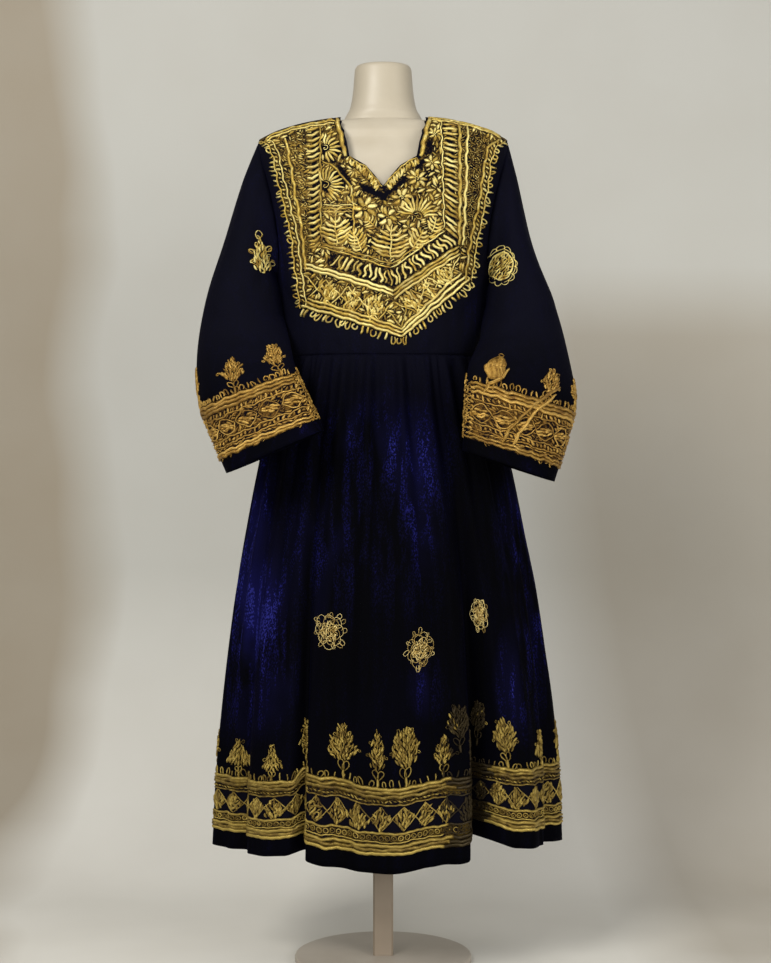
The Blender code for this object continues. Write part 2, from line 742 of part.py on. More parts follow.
def through(rings):
    """Rows of rings on a smooth Catmull-Rom course through the given rings."""
    gaps = [np.linalg.norm(b - a, axis=1).mean() for a, b in zip(rings[:-1], rings[1:])]
    place = np.concatenate([[0], np.cumsum(gaps)])
    length = place[-1]
    stops = np.linspace(0, length - CUFF_MARGIN - CUFF_BAND, SLEEVE_ROWS_ABOVE + 1)
    cuff = np.linspace(length - CUFF_MARGIN - CUFF_BAND, length - CUFF_MARGIN, CUFF_ROWS + 1)
    made = []
    for where in (*stops, *cuff[1:], length):
        k = int(np.clip(np.searchsorted(place, where) - 1, 0, len(gaps) - 1))
        u = (where - place[k]) / gaps[k]
        before = rings[k - 1] if k else 2 * rings[0] - rings[1]
        after = rings[k + 2] if k + 2 < len(rings) else 2 * rings[-1] - rings[-2]
        start, end = rings[k], rings[k + 1]
        steady = 2 * start + (end - before) * u
        bend = (2 * before - 5 * start + 4 * end - after) * u**2
        twist = (3 * start - before - 3 * end + after) * u**3
        made.append(0.5 * (steady + bend + twist))
    return np.array(made)


def make_sleeve(name, sections, sign, front, back):
    loop = armhole_loop(front, back, sign)
    rings = [loop] + [section_ring(section, sign, len(loop)) for section in sections]
    points = through(rings)
    centre = points.mean(axis=1)
    normal = facing(points, normals_of(points, True), centre)
    normal[0, :, 0] = 0
    normal[0] /= np.maximum(np.linalg.norm(normal[0], axis=1, keepdims=True), 1e-12)
    falling = short_diagonals(points, True)
    wall(f"sleeve_{name}", points, points - normal * CLOTH, True, "velvet", falling)
    top, foot = SLEEVE_ROWS_ABOVE, SLEEVE_ROWS_ABOVE + CUFF_ROWS
    under = points[top : foot + 1] + normal[top : foot + 1] * SEAM_GAP
    over = under + normal[top : foot + 1] * EMBROIDERY
    wall(f"cuff_band_{name}", over, under, True, "gold_work", falling[top:foot])


# Dress form and stand


def form_ring(row):
    turn = np.linspace(0, 2 * math.pi, FORM_SIDES + 1)[:-1]
    power = 2 / BODY_POWER
    round_x, round_y = np.cos(turn), np.sin(turn)
    depth = np.where(round_y >= 0, row.front, row.back)
    x = row.half_width * np.sign(round_x) * np.abs(round_x) ** power
    y = -depth * np.sign(round_y) * np.abs(round_y) ** power
    return np.stack([x, y, np.full_like(x, row.height)], axis=-1)


def make_form():
    """Trunk, shoulders that follow the dress's shoulder seams, and neck, as one smooth solid."""
    rows = list(FORM_TRUNK)
    for place in FORM_SHOULDERS:
        seam = float(shoulder_height(place.across))
        inset = 0.010
        depths = float(front_depth(seam)) - inset, float(back_depth(seam)) - inset
        rows.append(FormRing(seam - place.drop, place.across, *depths))
    rows += FORM_NECK
    skin("dress_form", np.array([form_ring(row) for row in rows]), "form")


def make_stand():
    turn = np.linspace(0, 2 * math.pi, BASE_SIDES + 1)[:-1]
    profile = (
        (BASE_RADIUS - BASE_EDGE / 3, 0.0),
        (BASE_RADIUS, BASE_EDGE / 3),
        (BASE_RADIUS, BASE_THICKNESS - BASE_EDGE),
        (BASE_RADIUS - BASE_EDGE * 0.3, BASE_THICKNESS - BASE_EDGE * 0.3),
        (BASE_RADIUS - BASE_EDGE, BASE_THICKNESS),
    )
    round_x, round_y = np.cos(turn), np.sin(turn)
    rings = [np.stack([r * round_x, r * round_y, np.full_like(turn, z)], axis=-1) for r, z in profile]
    skin("stand_base", np.array(rings), "stand")
    half, flat = POST_WIDTH / 2, POST_WIDTH / 2 - POST_EDGE
    outline = ((half, -flat), (half, flat), (flat, half), (-flat, half))
    outline += tuple((-x, -y) for x, y in outline)
    ends = (BASE_THICKNESS + SEAM_GAP, FORM_BOTTOM - SEAM_GAP)
    skin("stand_post", np.array([[(x, y, z) for x, y in outline] for z in ends]), "stand")


def main():
    for old in list(bpy.data.objects):
        bpy.data.objects.remove(old)
    make_stand()
    make_form()
    front = make_front()
    back = make_back()
    make_skirt()
    make_sleeve("left", SLEEVE_LEFT, 1, front, back)
    make_sleeve("right", SLEEVE_RIGHT, -1, front, back)


main()
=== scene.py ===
"""Looks of a kuchi dress of dark blue velvet with gold thread embroidery, on a dress form and stand.

Units are metres, +Z is up and the dress faces -Y, so the wearer's left is +X. Every cloth surface is
worked out from the garment's sizes, with soft creases added. The embroidery is drawn on those
surfaces with couched cords, loops and petals.
"""

import math
from collections import namedtuple

import bpy
import numpy as np
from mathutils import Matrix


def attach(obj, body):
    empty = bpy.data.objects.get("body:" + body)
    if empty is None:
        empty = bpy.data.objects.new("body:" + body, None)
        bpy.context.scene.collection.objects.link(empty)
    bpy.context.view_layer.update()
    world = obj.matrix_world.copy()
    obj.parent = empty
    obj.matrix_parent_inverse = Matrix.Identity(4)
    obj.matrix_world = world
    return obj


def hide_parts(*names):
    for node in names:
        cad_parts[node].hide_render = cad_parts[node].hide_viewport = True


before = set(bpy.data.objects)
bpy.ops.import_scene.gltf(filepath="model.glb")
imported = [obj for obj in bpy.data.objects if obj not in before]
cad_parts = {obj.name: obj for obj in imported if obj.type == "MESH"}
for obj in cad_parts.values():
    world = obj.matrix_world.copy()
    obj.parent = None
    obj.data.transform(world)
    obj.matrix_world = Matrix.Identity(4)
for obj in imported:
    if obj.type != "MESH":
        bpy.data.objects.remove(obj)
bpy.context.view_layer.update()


def table(columns, *rows):
    """Rows with named columns."""
    Row = namedtuple("Row", columns)
    return tuple(Row(*row) for row in rows)


# Thickness of the velvet, and the gap between the bodice and a sleeve at the armhole
CLOTH = 0.0012
ARMHOLE_GAP = 0.0003

# Heights and lengths of the dress
WAIST = 1.020
UNDERARM = 1.165
SHOULDER_TIP = 1.390
NECK_POINT = 1.425
SKIRT_LENGTH = 0.822
HEM_MARGIN = 0.028
HEM_BAND = 0.120
CUFF_MARGIN = 0.023
CUFF_BAND = 0.100

# Squareness of the body's level sections: 2 is an ellipse
BODY_POWER = 2.2

# Level sections of the bodice, outside the cloth
BODICE_RINGS = table(
    "height half_width front back",
    (1.020, 0.168, 0.128, 0.108),
    (1.070, 0.168, 0.134, 0.110),
    (1.120, 0.172, 0.143, 0.112),
    (1.170, 0.177, 0.149, 0.115),
    (1.220, 0.184, 0.147, 0.118),
    (1.270, 0.195, 0.138, 0.119),
    (1.320, 0.205, 0.122, 0.115),
    (1.360, 0.211, 0.104, 0.102),
    (1.390, 0.211, 0.088, 0.088),
    (1.408, 0.170, 0.074, 0.079),
    (1.425, 0.072, 0.062, 0.069),
)

# Height of the shoulder seam over its distance from the middle
SHOULDER_SEAM = table(
    "across height",
    (0.072, 1.425),
    (0.136, 1.417),
    (0.183, 1.404),
    (0.211, 1.390),
)

# Front neckline, one half, from just below the shoulder seam down to the notch. sweep is how squarely
# the cloth's grid meets it
NECKLINE = table(
    "across height sweep",
    (0.0719, 1.4248, 0),
    (0.0717, 1.4241, 0),
    (0.0713, 1.4230, 0),
    (0.0705, 1.4197, 0.2),
    (0.0685, 1.4110, 0.45),
    (0.0640, 1.3930, 0.7),
    (0.0595, 1.3710, 0.9),
    (0.0550, 1.3460, 1),
    (0.0420, 1.3380, 0.9),
    (0.0280, 1.3290, 0.8),
    (0.0140, 1.3120, 0.7),
    (0.0000, 1.2930, 0),
)
BACK_NECK_DROP = 0.016
ARMHOLE_INSET = 0.012

# The bib's side edges from the lower corner to the shoulder tip, and its lowest point
BIB_SIDE_RIGHT = table(
    "across height",
    (0.136, 1.098),
    (0.146, 1.175),
    (0.151, 1.216),
    (0.165, 1.275),
    (0.177, 1.324),
    (0.189, 1.370),
    (0.210, 1.390),
)
BIB_SIDE_LEFT = table(
    "across height",
    (0.145, 1.143),
    (0.151, 1.182),
    (0.156, 1.216),
    (0.168, 1.268),
    (0.176, 1.319),
    (0.185, 1.365),
    (0.210, 1.390),
)
BIB_POINT = table("across height", (0.031, 1.045))[0]
EDGE_MARGIN = 0.005

# Level sections of the skirt, outside the cloth and without its folds
SKIRT_RINGS = table(
    "height half_width front back shift",
    (1.020, 0.168, 0.128, 0.108, 0.000),
    (0.995, 0.175, 0.136, 0.118, 0.000),
    (0.950, 0.186, 0.143, 0.129, 0.000),
    (0.880, 0.203, 0.153, 0.142, 0.001),
    (0.820, 0.217, 0.161, 0.152, 0.003),
    (0.730, 0.235, 0.171, 0.163, 0.003),
    (0.630, 0.254, 0.181, 0.173, 0.005),
    (0.525, 0.268, 0.189, 0.181, 0.007),
    (0.430, 0.278, 0.195, 0.187, 0.008),
    (0.330, 0.285, 0.200, 0.192, 0.008),
    (0.200, 0.289, 0.204, 0.196, 0.007),
)

# Height of the hem round the skirt; angles run from the wearer's left over the front
HEM = table(
    "angle height",
    (0, 0.208),
    (25, 0.215),
    (45, 0.219),
    (57, 0.234),
    (66, 0.204),
    (79, 0.199),
    (92, 0.192),
    (106, 0.198),
    (114, 0.205),
    (118, 0.217),
    (123, 0.212),
    (145, 0.208),
    (165, 0.209),
    (180, 0.211),
    (225, 0.209),
    (270, 0.203),
    (315, 0.209),
    (360, 0.208),
)

# Hanging folds: reach is how far the fold stands out (or in, below zero) at the hem
FOLDS = table(
    "angle reach half_angle start",
    (8, 0.010, 7, 0.72),
    (22, -0.016, 8, 0.80),
    (38, 0.012, 8, 0.78),
    (58, -0.085, 7.5, 0.84),
    (73, -0.009, 5, 0.88),
    (88, 0.017, 9, 0.74),
    (103, -0.010, 6, 0.84),
    (118, -0.036, 3.6, 0.80),
    (131, 0.010, 8, 0.80),
    (147, -0.018, 8, 0.86),
    (164, 0.012, 9, 0.74),
    (184, -0.012, 7, 0.80),
    (198, 0.013, 8, 0.78),
    (214, -0.030, 7, 0.84),
    (231, 0.012, 8, 0.80),
    (247, -0.024, 6, 0.82),
    (262, 0.014, 8, 0.76),
    (279, -0.032, 7, 0.86),
    (296, 0.013, 9, 0.78),
    (312, -0.026, 7, 0.82),
    (328, 0.012, 8, 0.76),
    (345, -0.020, 8, 0.82),
)

# Gathers where the skirt is sewn to the waist: waves all round, and their height down the skirt
GATHERS = 26
GATHER_ROWS = table(
    "below_waist height",
    (0.000, 0.0008),
    (0.020, 0.0032),
    (0.070, 0.0052),
    (0.200, 0.0042),
    (0.420, 0.0024),
    (0.830, 0.0012),
)

# Sleeve sections: the ends of the wide axis, where its middle lies in depth, how far the outer end
# lags behind that middle, and half the depth
SLEEVE_LEFT = table(
    "outer_x outer_z inner_x inner_z middle_y lag half_depth",
    (0.226, 1.330, 0.1835, 1.166, -0.004, 0.000, 0.066),
    (0.249, 1.220, 0.1810, 1.140, -0.012, 0.006, 0.078),
    (0.274, 1.120, 0.1770, 1.100, -0.036, 0.022, 0.074),
    (0.300, 1.030, 0.1650, 1.045, -0.074, 0.038, 0.063),
    (0.3135, 0.948, 0.1400, 0.992, -0.126, 0.052, 0.054),
    (0.297, 0.880, 0.1340, 0.926, -0.150, 0.045, 0.054),
    (0.273, 0.813, 0.1300, 0.860, -0.170, 0.036, 0.056),
)
SLEEVE_RIGHT = table(
    "outer_x outer_z inner_x inner_z middle_y lag half_depth",
    (0.236, 1.326, 0.1835, 1.166, -0.004, 0.000, 0.066),
    (0.266, 1.222, 0.1810, 1.140, -0.014, 0.006, 0.078),
    (0.289, 1.128, 0.1740, 1.100, -0.034, 0.020, 0.074),
    (0.304, 1.030, 0.1600, 1.048, -0.074, 0.036, 0.063),
    (0.298, 0.945, 0.1450, 0.996, -0.132, 0.044, 0.055),
    (0.275, 0.884, 0.1200, 0.944, -0.166, 0.036, 0.056),
    (0.249, 0.826, 0.0944, 0.8925, -0.192, 0.026, 0.058),
)

# Level sections of the dress form below its shoulders
FORM_TRUNK = table(
    "height half_width front back",
    (0.700, 0.118, 0.078, 0.086),
    (0.704, 0.134, 0.090, 0.098),
    (0.722, 0.150, 0.101, 0.110),
    (0.780, 0.160, 0.108, 0.118),
    (0.860, 0.154, 0.102, 0.112),
    (0.940, 0.132, 0.090, 0.092),
    (1.030, 0.116, 0.084, 0.078),
    (1.110, 0.127, 0.104, 0.086),
    (1.180, 0.140, 0.122, 0.094),
    (1.250, 0.150, 0.115, 0.100),
    (1.310, 0.166, 0.104, 0.098),
    (1.355, 0.175, 0.086, 0.086),
    (1.385, 0.180, 0.070, 0.072),
)
FORM_NECK = table(
    "height half_width front back",
    (1.4320, 0.0630, 0.054, 0.054),
    (1.4430, 0.0570, 0.052, 0.050),
    (1.4600, 0.0530, 0.050, 0.047),
    (1.4800, 0.0505, 0.049, 0.046),
    (1.5000, 0.0490, 0.048, 0.045),
    (1.5100, 0.0480, 0.047, 0.044),
    (1.5150, 0.0455, 0.0445, 0.0415),
    (1.5165, 0.0410, 0.040, 0.037),
)

# How far the form's shoulders lie below the dress's shoulder seams
FORM_SHOULDERS = table(
    "across drop",
    (0.184, 0.0060),
    (0.178, 0.0042),
    (0.168, 0.0033),
    (0.155, 0.0027),
    (0.136, 0.0028),
    (0.115, 0.0032),
    (0.092, 0.0038),
    (0.0705, 0.0044),
)


# Curves through the tables


def smooth_curve(stations, values):
    """A cubic through the table's rows that never overshoots them."""
    x = np.asarray(stations, float)
    y = np.asarray(values, float)
    order = np.argsort(x)
    x, y = x[order], y[order]
    step = np.diff(x)
    slope = np.diff(y) / step
    tangent = np.concatenate([slope[:1], np.zeros(len(x) - 2), slope[-1:]])
    product = slope[:-1] * slope[1:]
    total = slope[:-1] + slope[1:]
    same_way = product > 0
    tangent[1:-1][same_way] = 2 * product[same_way] / total[same_way]

    def at(where):
        where = np.clip(np.asarray(where, float), x[0], x[-1])
        k = np.clip(np.searchsorted(x, where) - 1, 0, len(step) - 1)
        u = (where - x[k]) / step[k]
        low = (1 + 2 * u) * (1 - u) ** 2 * y[k] + u * (1 - u) ** 2 * step[k] * tangent[k]
        high = u * u * (3 - 2 * u) * y[k + 1] - u * u * (1 - u) * step[k] * tangent[k + 1]
        return low + high

    return at


def column(rows, key, over):
    """The smooth curve of one named column over another."""
    return smooth_curve([getattr(row, over) for row in rows], [getattr(row, key) for row in rows])


def unit(vectors):
    return vectors / np.maximum(np.linalg.norm(vectors, axis=-1, keepdims=True), 1e-12)


def run_along(points):
    """Distance along a line of points, from its start to each point."""
    return np.concatenate([[0], np.cumsum(np.linalg.norm(np.diff(points, axis=0), axis=1))])


def read_at(points, run, stops):
    """Points of a line at distances along it."""
    return np.stack([np.interp(stops, run, points[:, k]) for k in range(points.shape[1])], axis=-1)


def split_evenly(points, count):
    """The same line as a number of even parts."""
    run = run_along(points)
    return read_at(points, run, np.linspace(0, run[-1], count + 1))


def resampled(points, step, closed=False):
    """The same line with even steps, about as long as the one asked for."""
    points = np.asarray(points, float)
    if closed:
        points = np.concatenate([points, points[:1]])
    count = max(int(round(run_along(points)[-1] / step)), 4 if closed else 1)
    line = split_evenly(points, count)
    return line[:-1] if closed else line


# The bodice's surface, by turn round the section and height

shoulder_height = column(SHOULDER_SEAM, "height", "across")
trunk_width = column(BODICE_RINGS, "half_width", "height")
front_depth = column(BODICE_RINGS, "front", "height")
back_depth = column(BODICE_RINGS, "back", "height")
seam_across = np.linspace(SHOULDER_SEAM[-1].across, SHOULDER_SEAM[0].across, 200)
seam_heights = shoulder_height(seam_across)


def half_width(height):
    """Half the body's width; above the shoulder tips it is the shoulder seam's."""
    return np.where(
        height > SHOULDER_TIP,
        np.interp(height, seam_heights, seam_across),
        trunk_width(height),
    )


def turn_at(across, height):
    """Angle round the body's section, 0 at the wearer's left and a quarter turn at the middle."""
    share = np.abs(across) / half_width(height)
    angle = np.arccos(np.clip(share, 0, 1) ** (BODY_POWER / 2))
    return np.where(np.asarray(across) < 0, math.pi - angle, angle)


def front_side(height):
    return -front_depth(height)


def back_side(height):
    return back_depth(height)


def section_point(turn, wide, deep, height, push=0.0, shift=0.0):
    """Point of a squarish level section, pushed out and shifted across; deep is below zero in front."""
    power = 2 / BODY_POWER
    round_x, round_y = np.cos(turn), np.sin(turn)
    x = wide * np.sign(round_x) * np.abs(round_x) ** power
    y = deep * np.abs(round_y) ** power
    out_x = np.abs(deep) * round_x
    out_y = wide * np.abs(round_y) * np.sign(deep)
    length = np.hypot(out_x, out_y)
    z = np.broadcast_to(height, np.shape(x))
    return np.stack([x + shift + out_x / length * push, y + out_y / length * push, z], axis=-1)


def on_section(turn, height, depth, push=0.0):
    """Point of the bodice; depth is its front or its back."""
    return section_point(turn, half_width(height), depth(height), height, push)


def panel_edge(height):
    """Distance of the side seam, and above the underarm of the armhole's edge, from the middle."""
    share = np.clip((height - UNDERARM) / (SHOULDER_TIP - UNDERARM), 0, 1)
    return half_width(height) - ARMHOLE_INSET * np.sin(math.pi * share)


# The bodice panels as coarse grids, which are then refined

BIB_COLUMN = 2
ROWS_BELOW = 3
ARMHOLE_ROWS = 7
SEAM_ROWS = 4
ROWS_ABOVE = ARMHOLE_ROWS + SEAM_ROWS
TIP_ROW = ROWS_BELOW + ARMHOLE_ROWS
BACK_COLUMNS = 10
# Steps of a path before it is split, and how far a strip's rows lie below the shoulder seam's
FINE = 600
STRIP_DROP = 0.0001


def along(path, stops):
    """Points of a fine path at shares of its length, and a last margin and end point."""
    run = run_along(path)
    return read_at(path, run, np.append(np.asarray(stops) * (run[-1] - EDGE_MARGIN), run[-1]))


def armhole_turn(height):
    """Turn of the armhole's edge; zero on the side seam and on the shoulder seam."""
    in_armhole = (height > UNDERARM) & (height < SHOULDER_TIP)
    return np.where(in_armhole, turn_at(panel_edge(height), height), 0.0)


def edge_column(depth):
    """The panel's outer edge: side seam, armhole and shoulder seam."""
    side = np.linspace(WAIST, UNDERARM, ROWS_BELOW + 1)[:-1]
    below = on_section(np.zeros(ROWS_BELOW), side, depth)
    rise = (1 - np.cos(np.linspace(0, math.pi, FINE))) / 2
    height = UNDERARM + (SHOULDER_TIP - UNDERARM) * rise
    hole = split_evenly(on_section(armhole_turn(height), height, depth), ARMHOLE_ROWS)
    across = np.linspace(SHOULDER_SEAM[-1].across, SHOULDER_SEAM[0].across, FINE)
    seam = np.stack([across, np.zeros(FINE), shoulder_height(across)], axis=1)
    return np.concatenate([below, hole[:-1], along(seam, np.linspace(0, 1, SEAM_ROWS + 1))])


def low_rows(turn, level, depth):
    """A column's rows from the waist to just below its level, at one turn."""
    heights = np.linspace(WAIST, level, ROWS_BELOW + 1)[:-1]
    return on_section(np.full(ROWS_BELOW, turn), heights, depth)


def inner_column(part_at, sweep, level, top_height, depth):
    """A column inside the panel that rises from its level to the neckline.

    part_at gives the turn for a share of the way round; sweep is how squarely it meets the neckline."""
    share = 1 - (1 - np.linspace(0, 1, FINE)) ** 3
    rise = share + sweep * (np.sin(share * math.pi / 2) - share)
    swing = share + sweep * (1 - np.cos(share * math.pi / 2) - share)
    height = level + (top_height - level) * rise
    path = on_section(part_at(swing, height), height, depth)
    low = float(part_at(0.0, level))
    stops = np.linspace(0, 1, ROWS_ABOVE + 1)
    return np.concatenate([low_rows(low, level, depth), along(path, stops)])


def strip_column(turn_of, level, edge, depth):
    """A column close to the panel's edge, whose rows match the edge's from the shoulder tip up."""
    fine = np.linspace(level, SHOULDER_TIP, FINE)
    low = split_evenly(on_section(turn_of(fine), fine, depth), ARMHOLE_ROWS)[:-1]
    heights = edge[TIP_ROW:, 2] - STRIP_DROP
    above = on_section(turn_of(heights), heights, depth)
    return np.concatenate([low_rows(float(turn_of(level)), level, depth), low, above])


def front_half(side, sign):
    """Half of the front as a grid of points; columns run from the side to the middle."""
    side_line = column(side, "across", "height")
    corner = side[0]
    point = sign * BIB_POINT.across

    def margin_turn(height):
        return np.arcsin(np.clip(EDGE_MARGIN / front_depth(height), 0, 1) ** (BODY_POWER / 2))

    def bib_turn(height):
        edge = turn_at(np.minimum(side_line(height), half_width(height)), height)
        edge = np.where(height < side[-1].height, edge, 0.0)
        return np.maximum(edge, margin_turn(height))

    def half_way(height):
        return (armhole_turn(height) + bib_turn(height)) / 2

    edge = edge_column(front_side)
    middle_level = (UNDERARM + corner.height) / 2
    columns = [
        edge,
        strip_column(half_way, middle_level, edge, front_side),
        strip_column(bib_turn, corner.height, edge, front_side),
    ]
    spread = np.cos(np.linspace(0, math.pi / 2, len(NECKLINE) + 1))[1:]
    for top, share_in in zip(NECKLINE, spread):
        across = point + (corner.across - point) * share_in
        level = BIB_POINT.height + (corner.height - BIB_POINT.height) * share_in
        start = (turn_at(across, level) - bib_turn(level)) / (math.pi / 2 - bib_turn(level))
        high = top.height
        end = (turn_at(top.across, high) - bib_turn(high)) / (math.pi / 2 - bib_turn(high))

        def part_at(swing, height):
            inner = bib_turn(height)
            return inner + (math.pi / 2 - inner) * (start + (end - start) * swing)

        columns.append(inner_column(part_at, top.sweep, level, high, front_side))
    grid = np.array(columns).transpose(1, 0, 2)
    grid[-1, -1, 0] = 0
    grid[..., 0] *= sign
    return grid


def front_grid():
    left = front_half(BIB_SIDE_LEFT, 1)
    right = front_half(BIB_SIDE_RIGHT, -1)
    return np.concatenate([left, right[:, -2::-1]], axis=1)


def back_grid():
    columns = [edge_column(back_side)]
    for part in np.sin(np.linspace(0, math.pi / 2, BACK_COLUMNS + 1))[1:]:

        def part_at(swing, height):
            edge = armhole_turn(height)
            return edge + (math.pi / 2 - edge) * part

        top = NECK_POINT - BACK_NECK_DROP * math.sin(part * math.pi / 2)
        columns.append(inner_column(part_at, 0, UNDERARM, top, back_side))
    half = np.array(columns).transpose(1, 0, 2)
    half[:, -1, 0] = 0
    other = half[:, -2::-1].copy()
    other[..., 0] *= -1
    return np.concatenate([half, other], axis=1)


def armhole_loop(front, back, sign):
    """The armhole's edge as a ring that starts at the shoulder tip and runs over the front."""
    side = 0 if sign > 0 else -1
    over_front = front[TIP_ROW : ROWS_BELOW - 1 : -1, side]
    over_back = back[ROWS_BELOW + 1 : TIP_ROW, side]
    corners = np.concatenate([over_front, over_back])
    corners[:, 0] += sign * ARMHOLE_GAP
    return corners


def refined(grid, rows, columns):
    """A grid with every cell split into rows by columns smaller ones."""
    old_rows, old_columns = grid.shape[:2]
    r = np.linspace(0, old_rows - 1, (old_rows - 1) * rows + 1)
    c = np.linspace(0, old_columns - 1, (old_columns - 1) * columns + 1)
    return looked_up(grid, r[:, None], c[None, :])


def looked_up(grid, row, column_at):
    """Values of a grid at fractional rows and columns."""
    row = np.clip(row, 0, grid.shape[0] - 1)
    column_at = np.clip(column_at, 0, grid.shape[1] - 1)
    r = np.minimum(row.astype(int), grid.shape[0] - 2)
    c = np.minimum(column_at.astype(int), grid.shape[1] - 2)
    u = (row - r)[..., None]
    v = (column_at - c)[..., None]
    near = grid[r, c] * (1 - v) + grid[r, c + 1] * v
    far = grid[r + 1, c] * (1 - v) + grid[r + 1, c + 1] * v
    return near * (1 - u) + far * u


# Garment surfaces with their creases

# Rows and columns that each coarse cell of a bodice panel is split into
FRONT_ROWS = 6
BACK_ROWS = 5
PANEL_COLUMNS = 4
# Rows and columns of the skirt's halves and of a sleeve, and the depth of the fine pleats
SKIRT_ROWS = 96
SKIRT_FRONT_COLUMNS = 300
SKIRT_BACK_COLUMNS = 200
SLEEVE_ROWS = 84
SLEEVE_COLUMNS = 88
GATHER_DEPTH = 0.0016

# Soft creases of the bodice: turn and height of the two ends, depth (in is negative) and half width
SIDE_SWELLS = table(
    "turn_a height_a turn_b height_b depth half_width",
    (0.0, 1.225, 0.0, 1.060, 0.0060, 0.030),
    (math.pi, 1.225, math.pi, 1.060, 0.0060, 0.030),
)
FRONT_CREASES = table(
    "turn_a height_a turn_b height_b depth half_width",
    (0.18, 1.150, 0.80, 1.075, -0.0022, 0.012),
    (0.10, 1.110, 0.62, 1.045, 0.0020, 0.012),
    (0.22, 1.200, 0.50, 1.140, -0.0018, 0.010),
    (1.05, 1.040, 1.20, 1.024, -0.0015, 0.008),
    (2.96, 1.150, 2.34, 1.070, -0.0024, 0.013),
    (3.04, 1.105, 2.55, 1.040, 0.0020, 0.011),
    (2.90, 1.205, 2.70, 1.150, -0.0018, 0.010),
    (2.05, 1.042, 1.92, 1.024, -0.0015, 0.008),
    *SIDE_SWELLS,
)
BACK_CREASES = table(
    "turn_a height_a turn_b height_b depth half_width",
    (0.25, 1.160, 1.05, 1.070, -0.0024, 0.013),
    (2.88, 1.165, 2.05, 1.075, -0.0026, 0.014),
    (0.80, 1.300, 1.30, 1.200, -0.0018, 0.016),
    (2.34, 1.310, 1.80, 1.210, -0.0020, 0.016),
    (1.20, 1.060, 1.95, 1.055, -0.0018, 0.010),
    *SIDE_SWELLS,
)

# Soft creases of the sleeves: share of the way round from the outer edge over the front, distance
# along from the armhole, for the two ends
SLEEVE_LEFT_CREASES = table(
    "round_a along_a round_b along_b depth half_width",
    (0.10, 0.200, 0.42, 0.250, -0.0040, 0.014),
    (0.14, 0.250, 0.46, 0.285, 0.0030, 0.013),
    (0.20, 0.305, 0.47, 0.310, -0.0036, 0.012),
    (0.52, 0.160, 0.80, 0.220, -0.0040, 0.014),
    (0.55, 0.260, 0.85, 0.290, -0.0040, 0.014),
    (0.13, 0.350, 0.36, 0.480, -0.0030, 0.008),
    (0.05, 0.020, 0.12, 0.180, -0.0022, 0.016),
    (0.38, 0.020, 0.34, 0.170, -0.0026, 0.014),
    (0.47, -0.110, 0.45, 0.200, 0.0170, 0.040),
)
SLEEVE_RIGHT_CREASES = table(
    "round_a along_a round_b along_b depth half_width",
    (0.12, 0.210, 0.40, 0.255, -0.0036, 0.014),
    (0.12, 0.270, 0.45, 0.300, 0.0028, 0.013),
    (0.24, 0.325, 0.48, 0.318, -0.0034, 0.012),
    (0.55, 0.170, 0.82, 0.230, -0.0040, 0.014),
    (0.56, 0.275, 0.84, 0.300, -0.0036, 0.014),
    (0.06, 0.030, 0.13, 0.190, -0.0022, 0.016),
    (0.40, 0.030, 0.35, 0.180, -0.0026, 0.014),
    (0.47, -0.110, 0.45, 0.200, 0.0160, 0.040),
)


def soft_line(x, y, start, end, half):
    """How near points lie to a line between two ends, 1 on it and fading to 0 away from it."""
    run = np.array(end) - np.array(start)
    length = np.hypot(*run)
    share = ((x - start[0]) * run[0] + (y - start[1]) * run[1]) / length**2
    near = np.clip(share, 0, 1)
    away = np.hypot(x - start[0] - near * run[0], y - start[1] - near * run[1])
    fade = np.sin(near * math.pi) ** 0.7
    return np.exp(-((away / half) ** 2)) * fade


def seam_dip(away, depth=0.0008, half=0.0025):
    return -depth * np.exp(-((away / half) ** 2))


# Rough radius of the body, which turns angles into distances round it
BODY_RADIUS = 0.16


def bodice_push(turn, height, creases):
    """Creases of a bodice panel, the dip of its side seam and the soft pull of the gathers."""
    total = np.zeros(np.broadcast(turn, height).shape)
    for crease in creases:
        start = (crease.turn_a * BODY_RADIUS, crease.height_a)
        end = (crease.turn_b * BODY_RADIUS, crease.height_b)
        near = soft_line(turn * BODY_RADIUS, height, start, end, crease.half_width)
        total += crease.depth * near
    side = np.minimum(turn, math.pi - turn) * BODY_RADIUS
    total += seam_dip(side) * (height < UNDERARM)
    total += seam_dip(height - WAIST, 0.0006, 0.004)
    wave = np.cos(turn * GATHERS + 0.6 * np.sin(turn * 3))
    total += 0.0007 * wave * np.exp(-(height - WAIST) / 0.030)
    return total


def chest_turned(turn, height):
    return on_section(turn, height, front_side, bodice_push(turn, height, FRONT_CREASES))


def upper_back(turn, height):
    return on_section(turn, height, back_side, bodice_push(turn, height, BACK_CREASES))


skirt_width = column(SKIRT_RINGS, "half_width", "height")
skirt_front_depth = column(SKIRT_RINGS, "front", "height")
skirt_back_depth = column(SKIRT_RINGS, "back", "height")
skirt_shift = column(SKIRT_RINGS, "shift", "height")
hem_height = column(HEM, "height", "angle")
gather_height = column(GATHER_ROWS, "height", "below_waist")


def fold_reach(angle, height):
    """Sum of the hanging folds at an angle in degrees and a height."""
    total = np.zeros(np.broadcast(angle, height).shape)
    for fold in FOLDS:
        away = (angle - fold.angle + 180) % 360 - 180
        near = np.clip(np.abs(away) / fold.half_angle, 0, 1)
        grown = np.clip((fold.start - height) / (fold.start - 0.2), 0, 1) ** 0.85
        total += fold.reach * grown * np.cos(near * math.pi / 2) ** 2
    return total


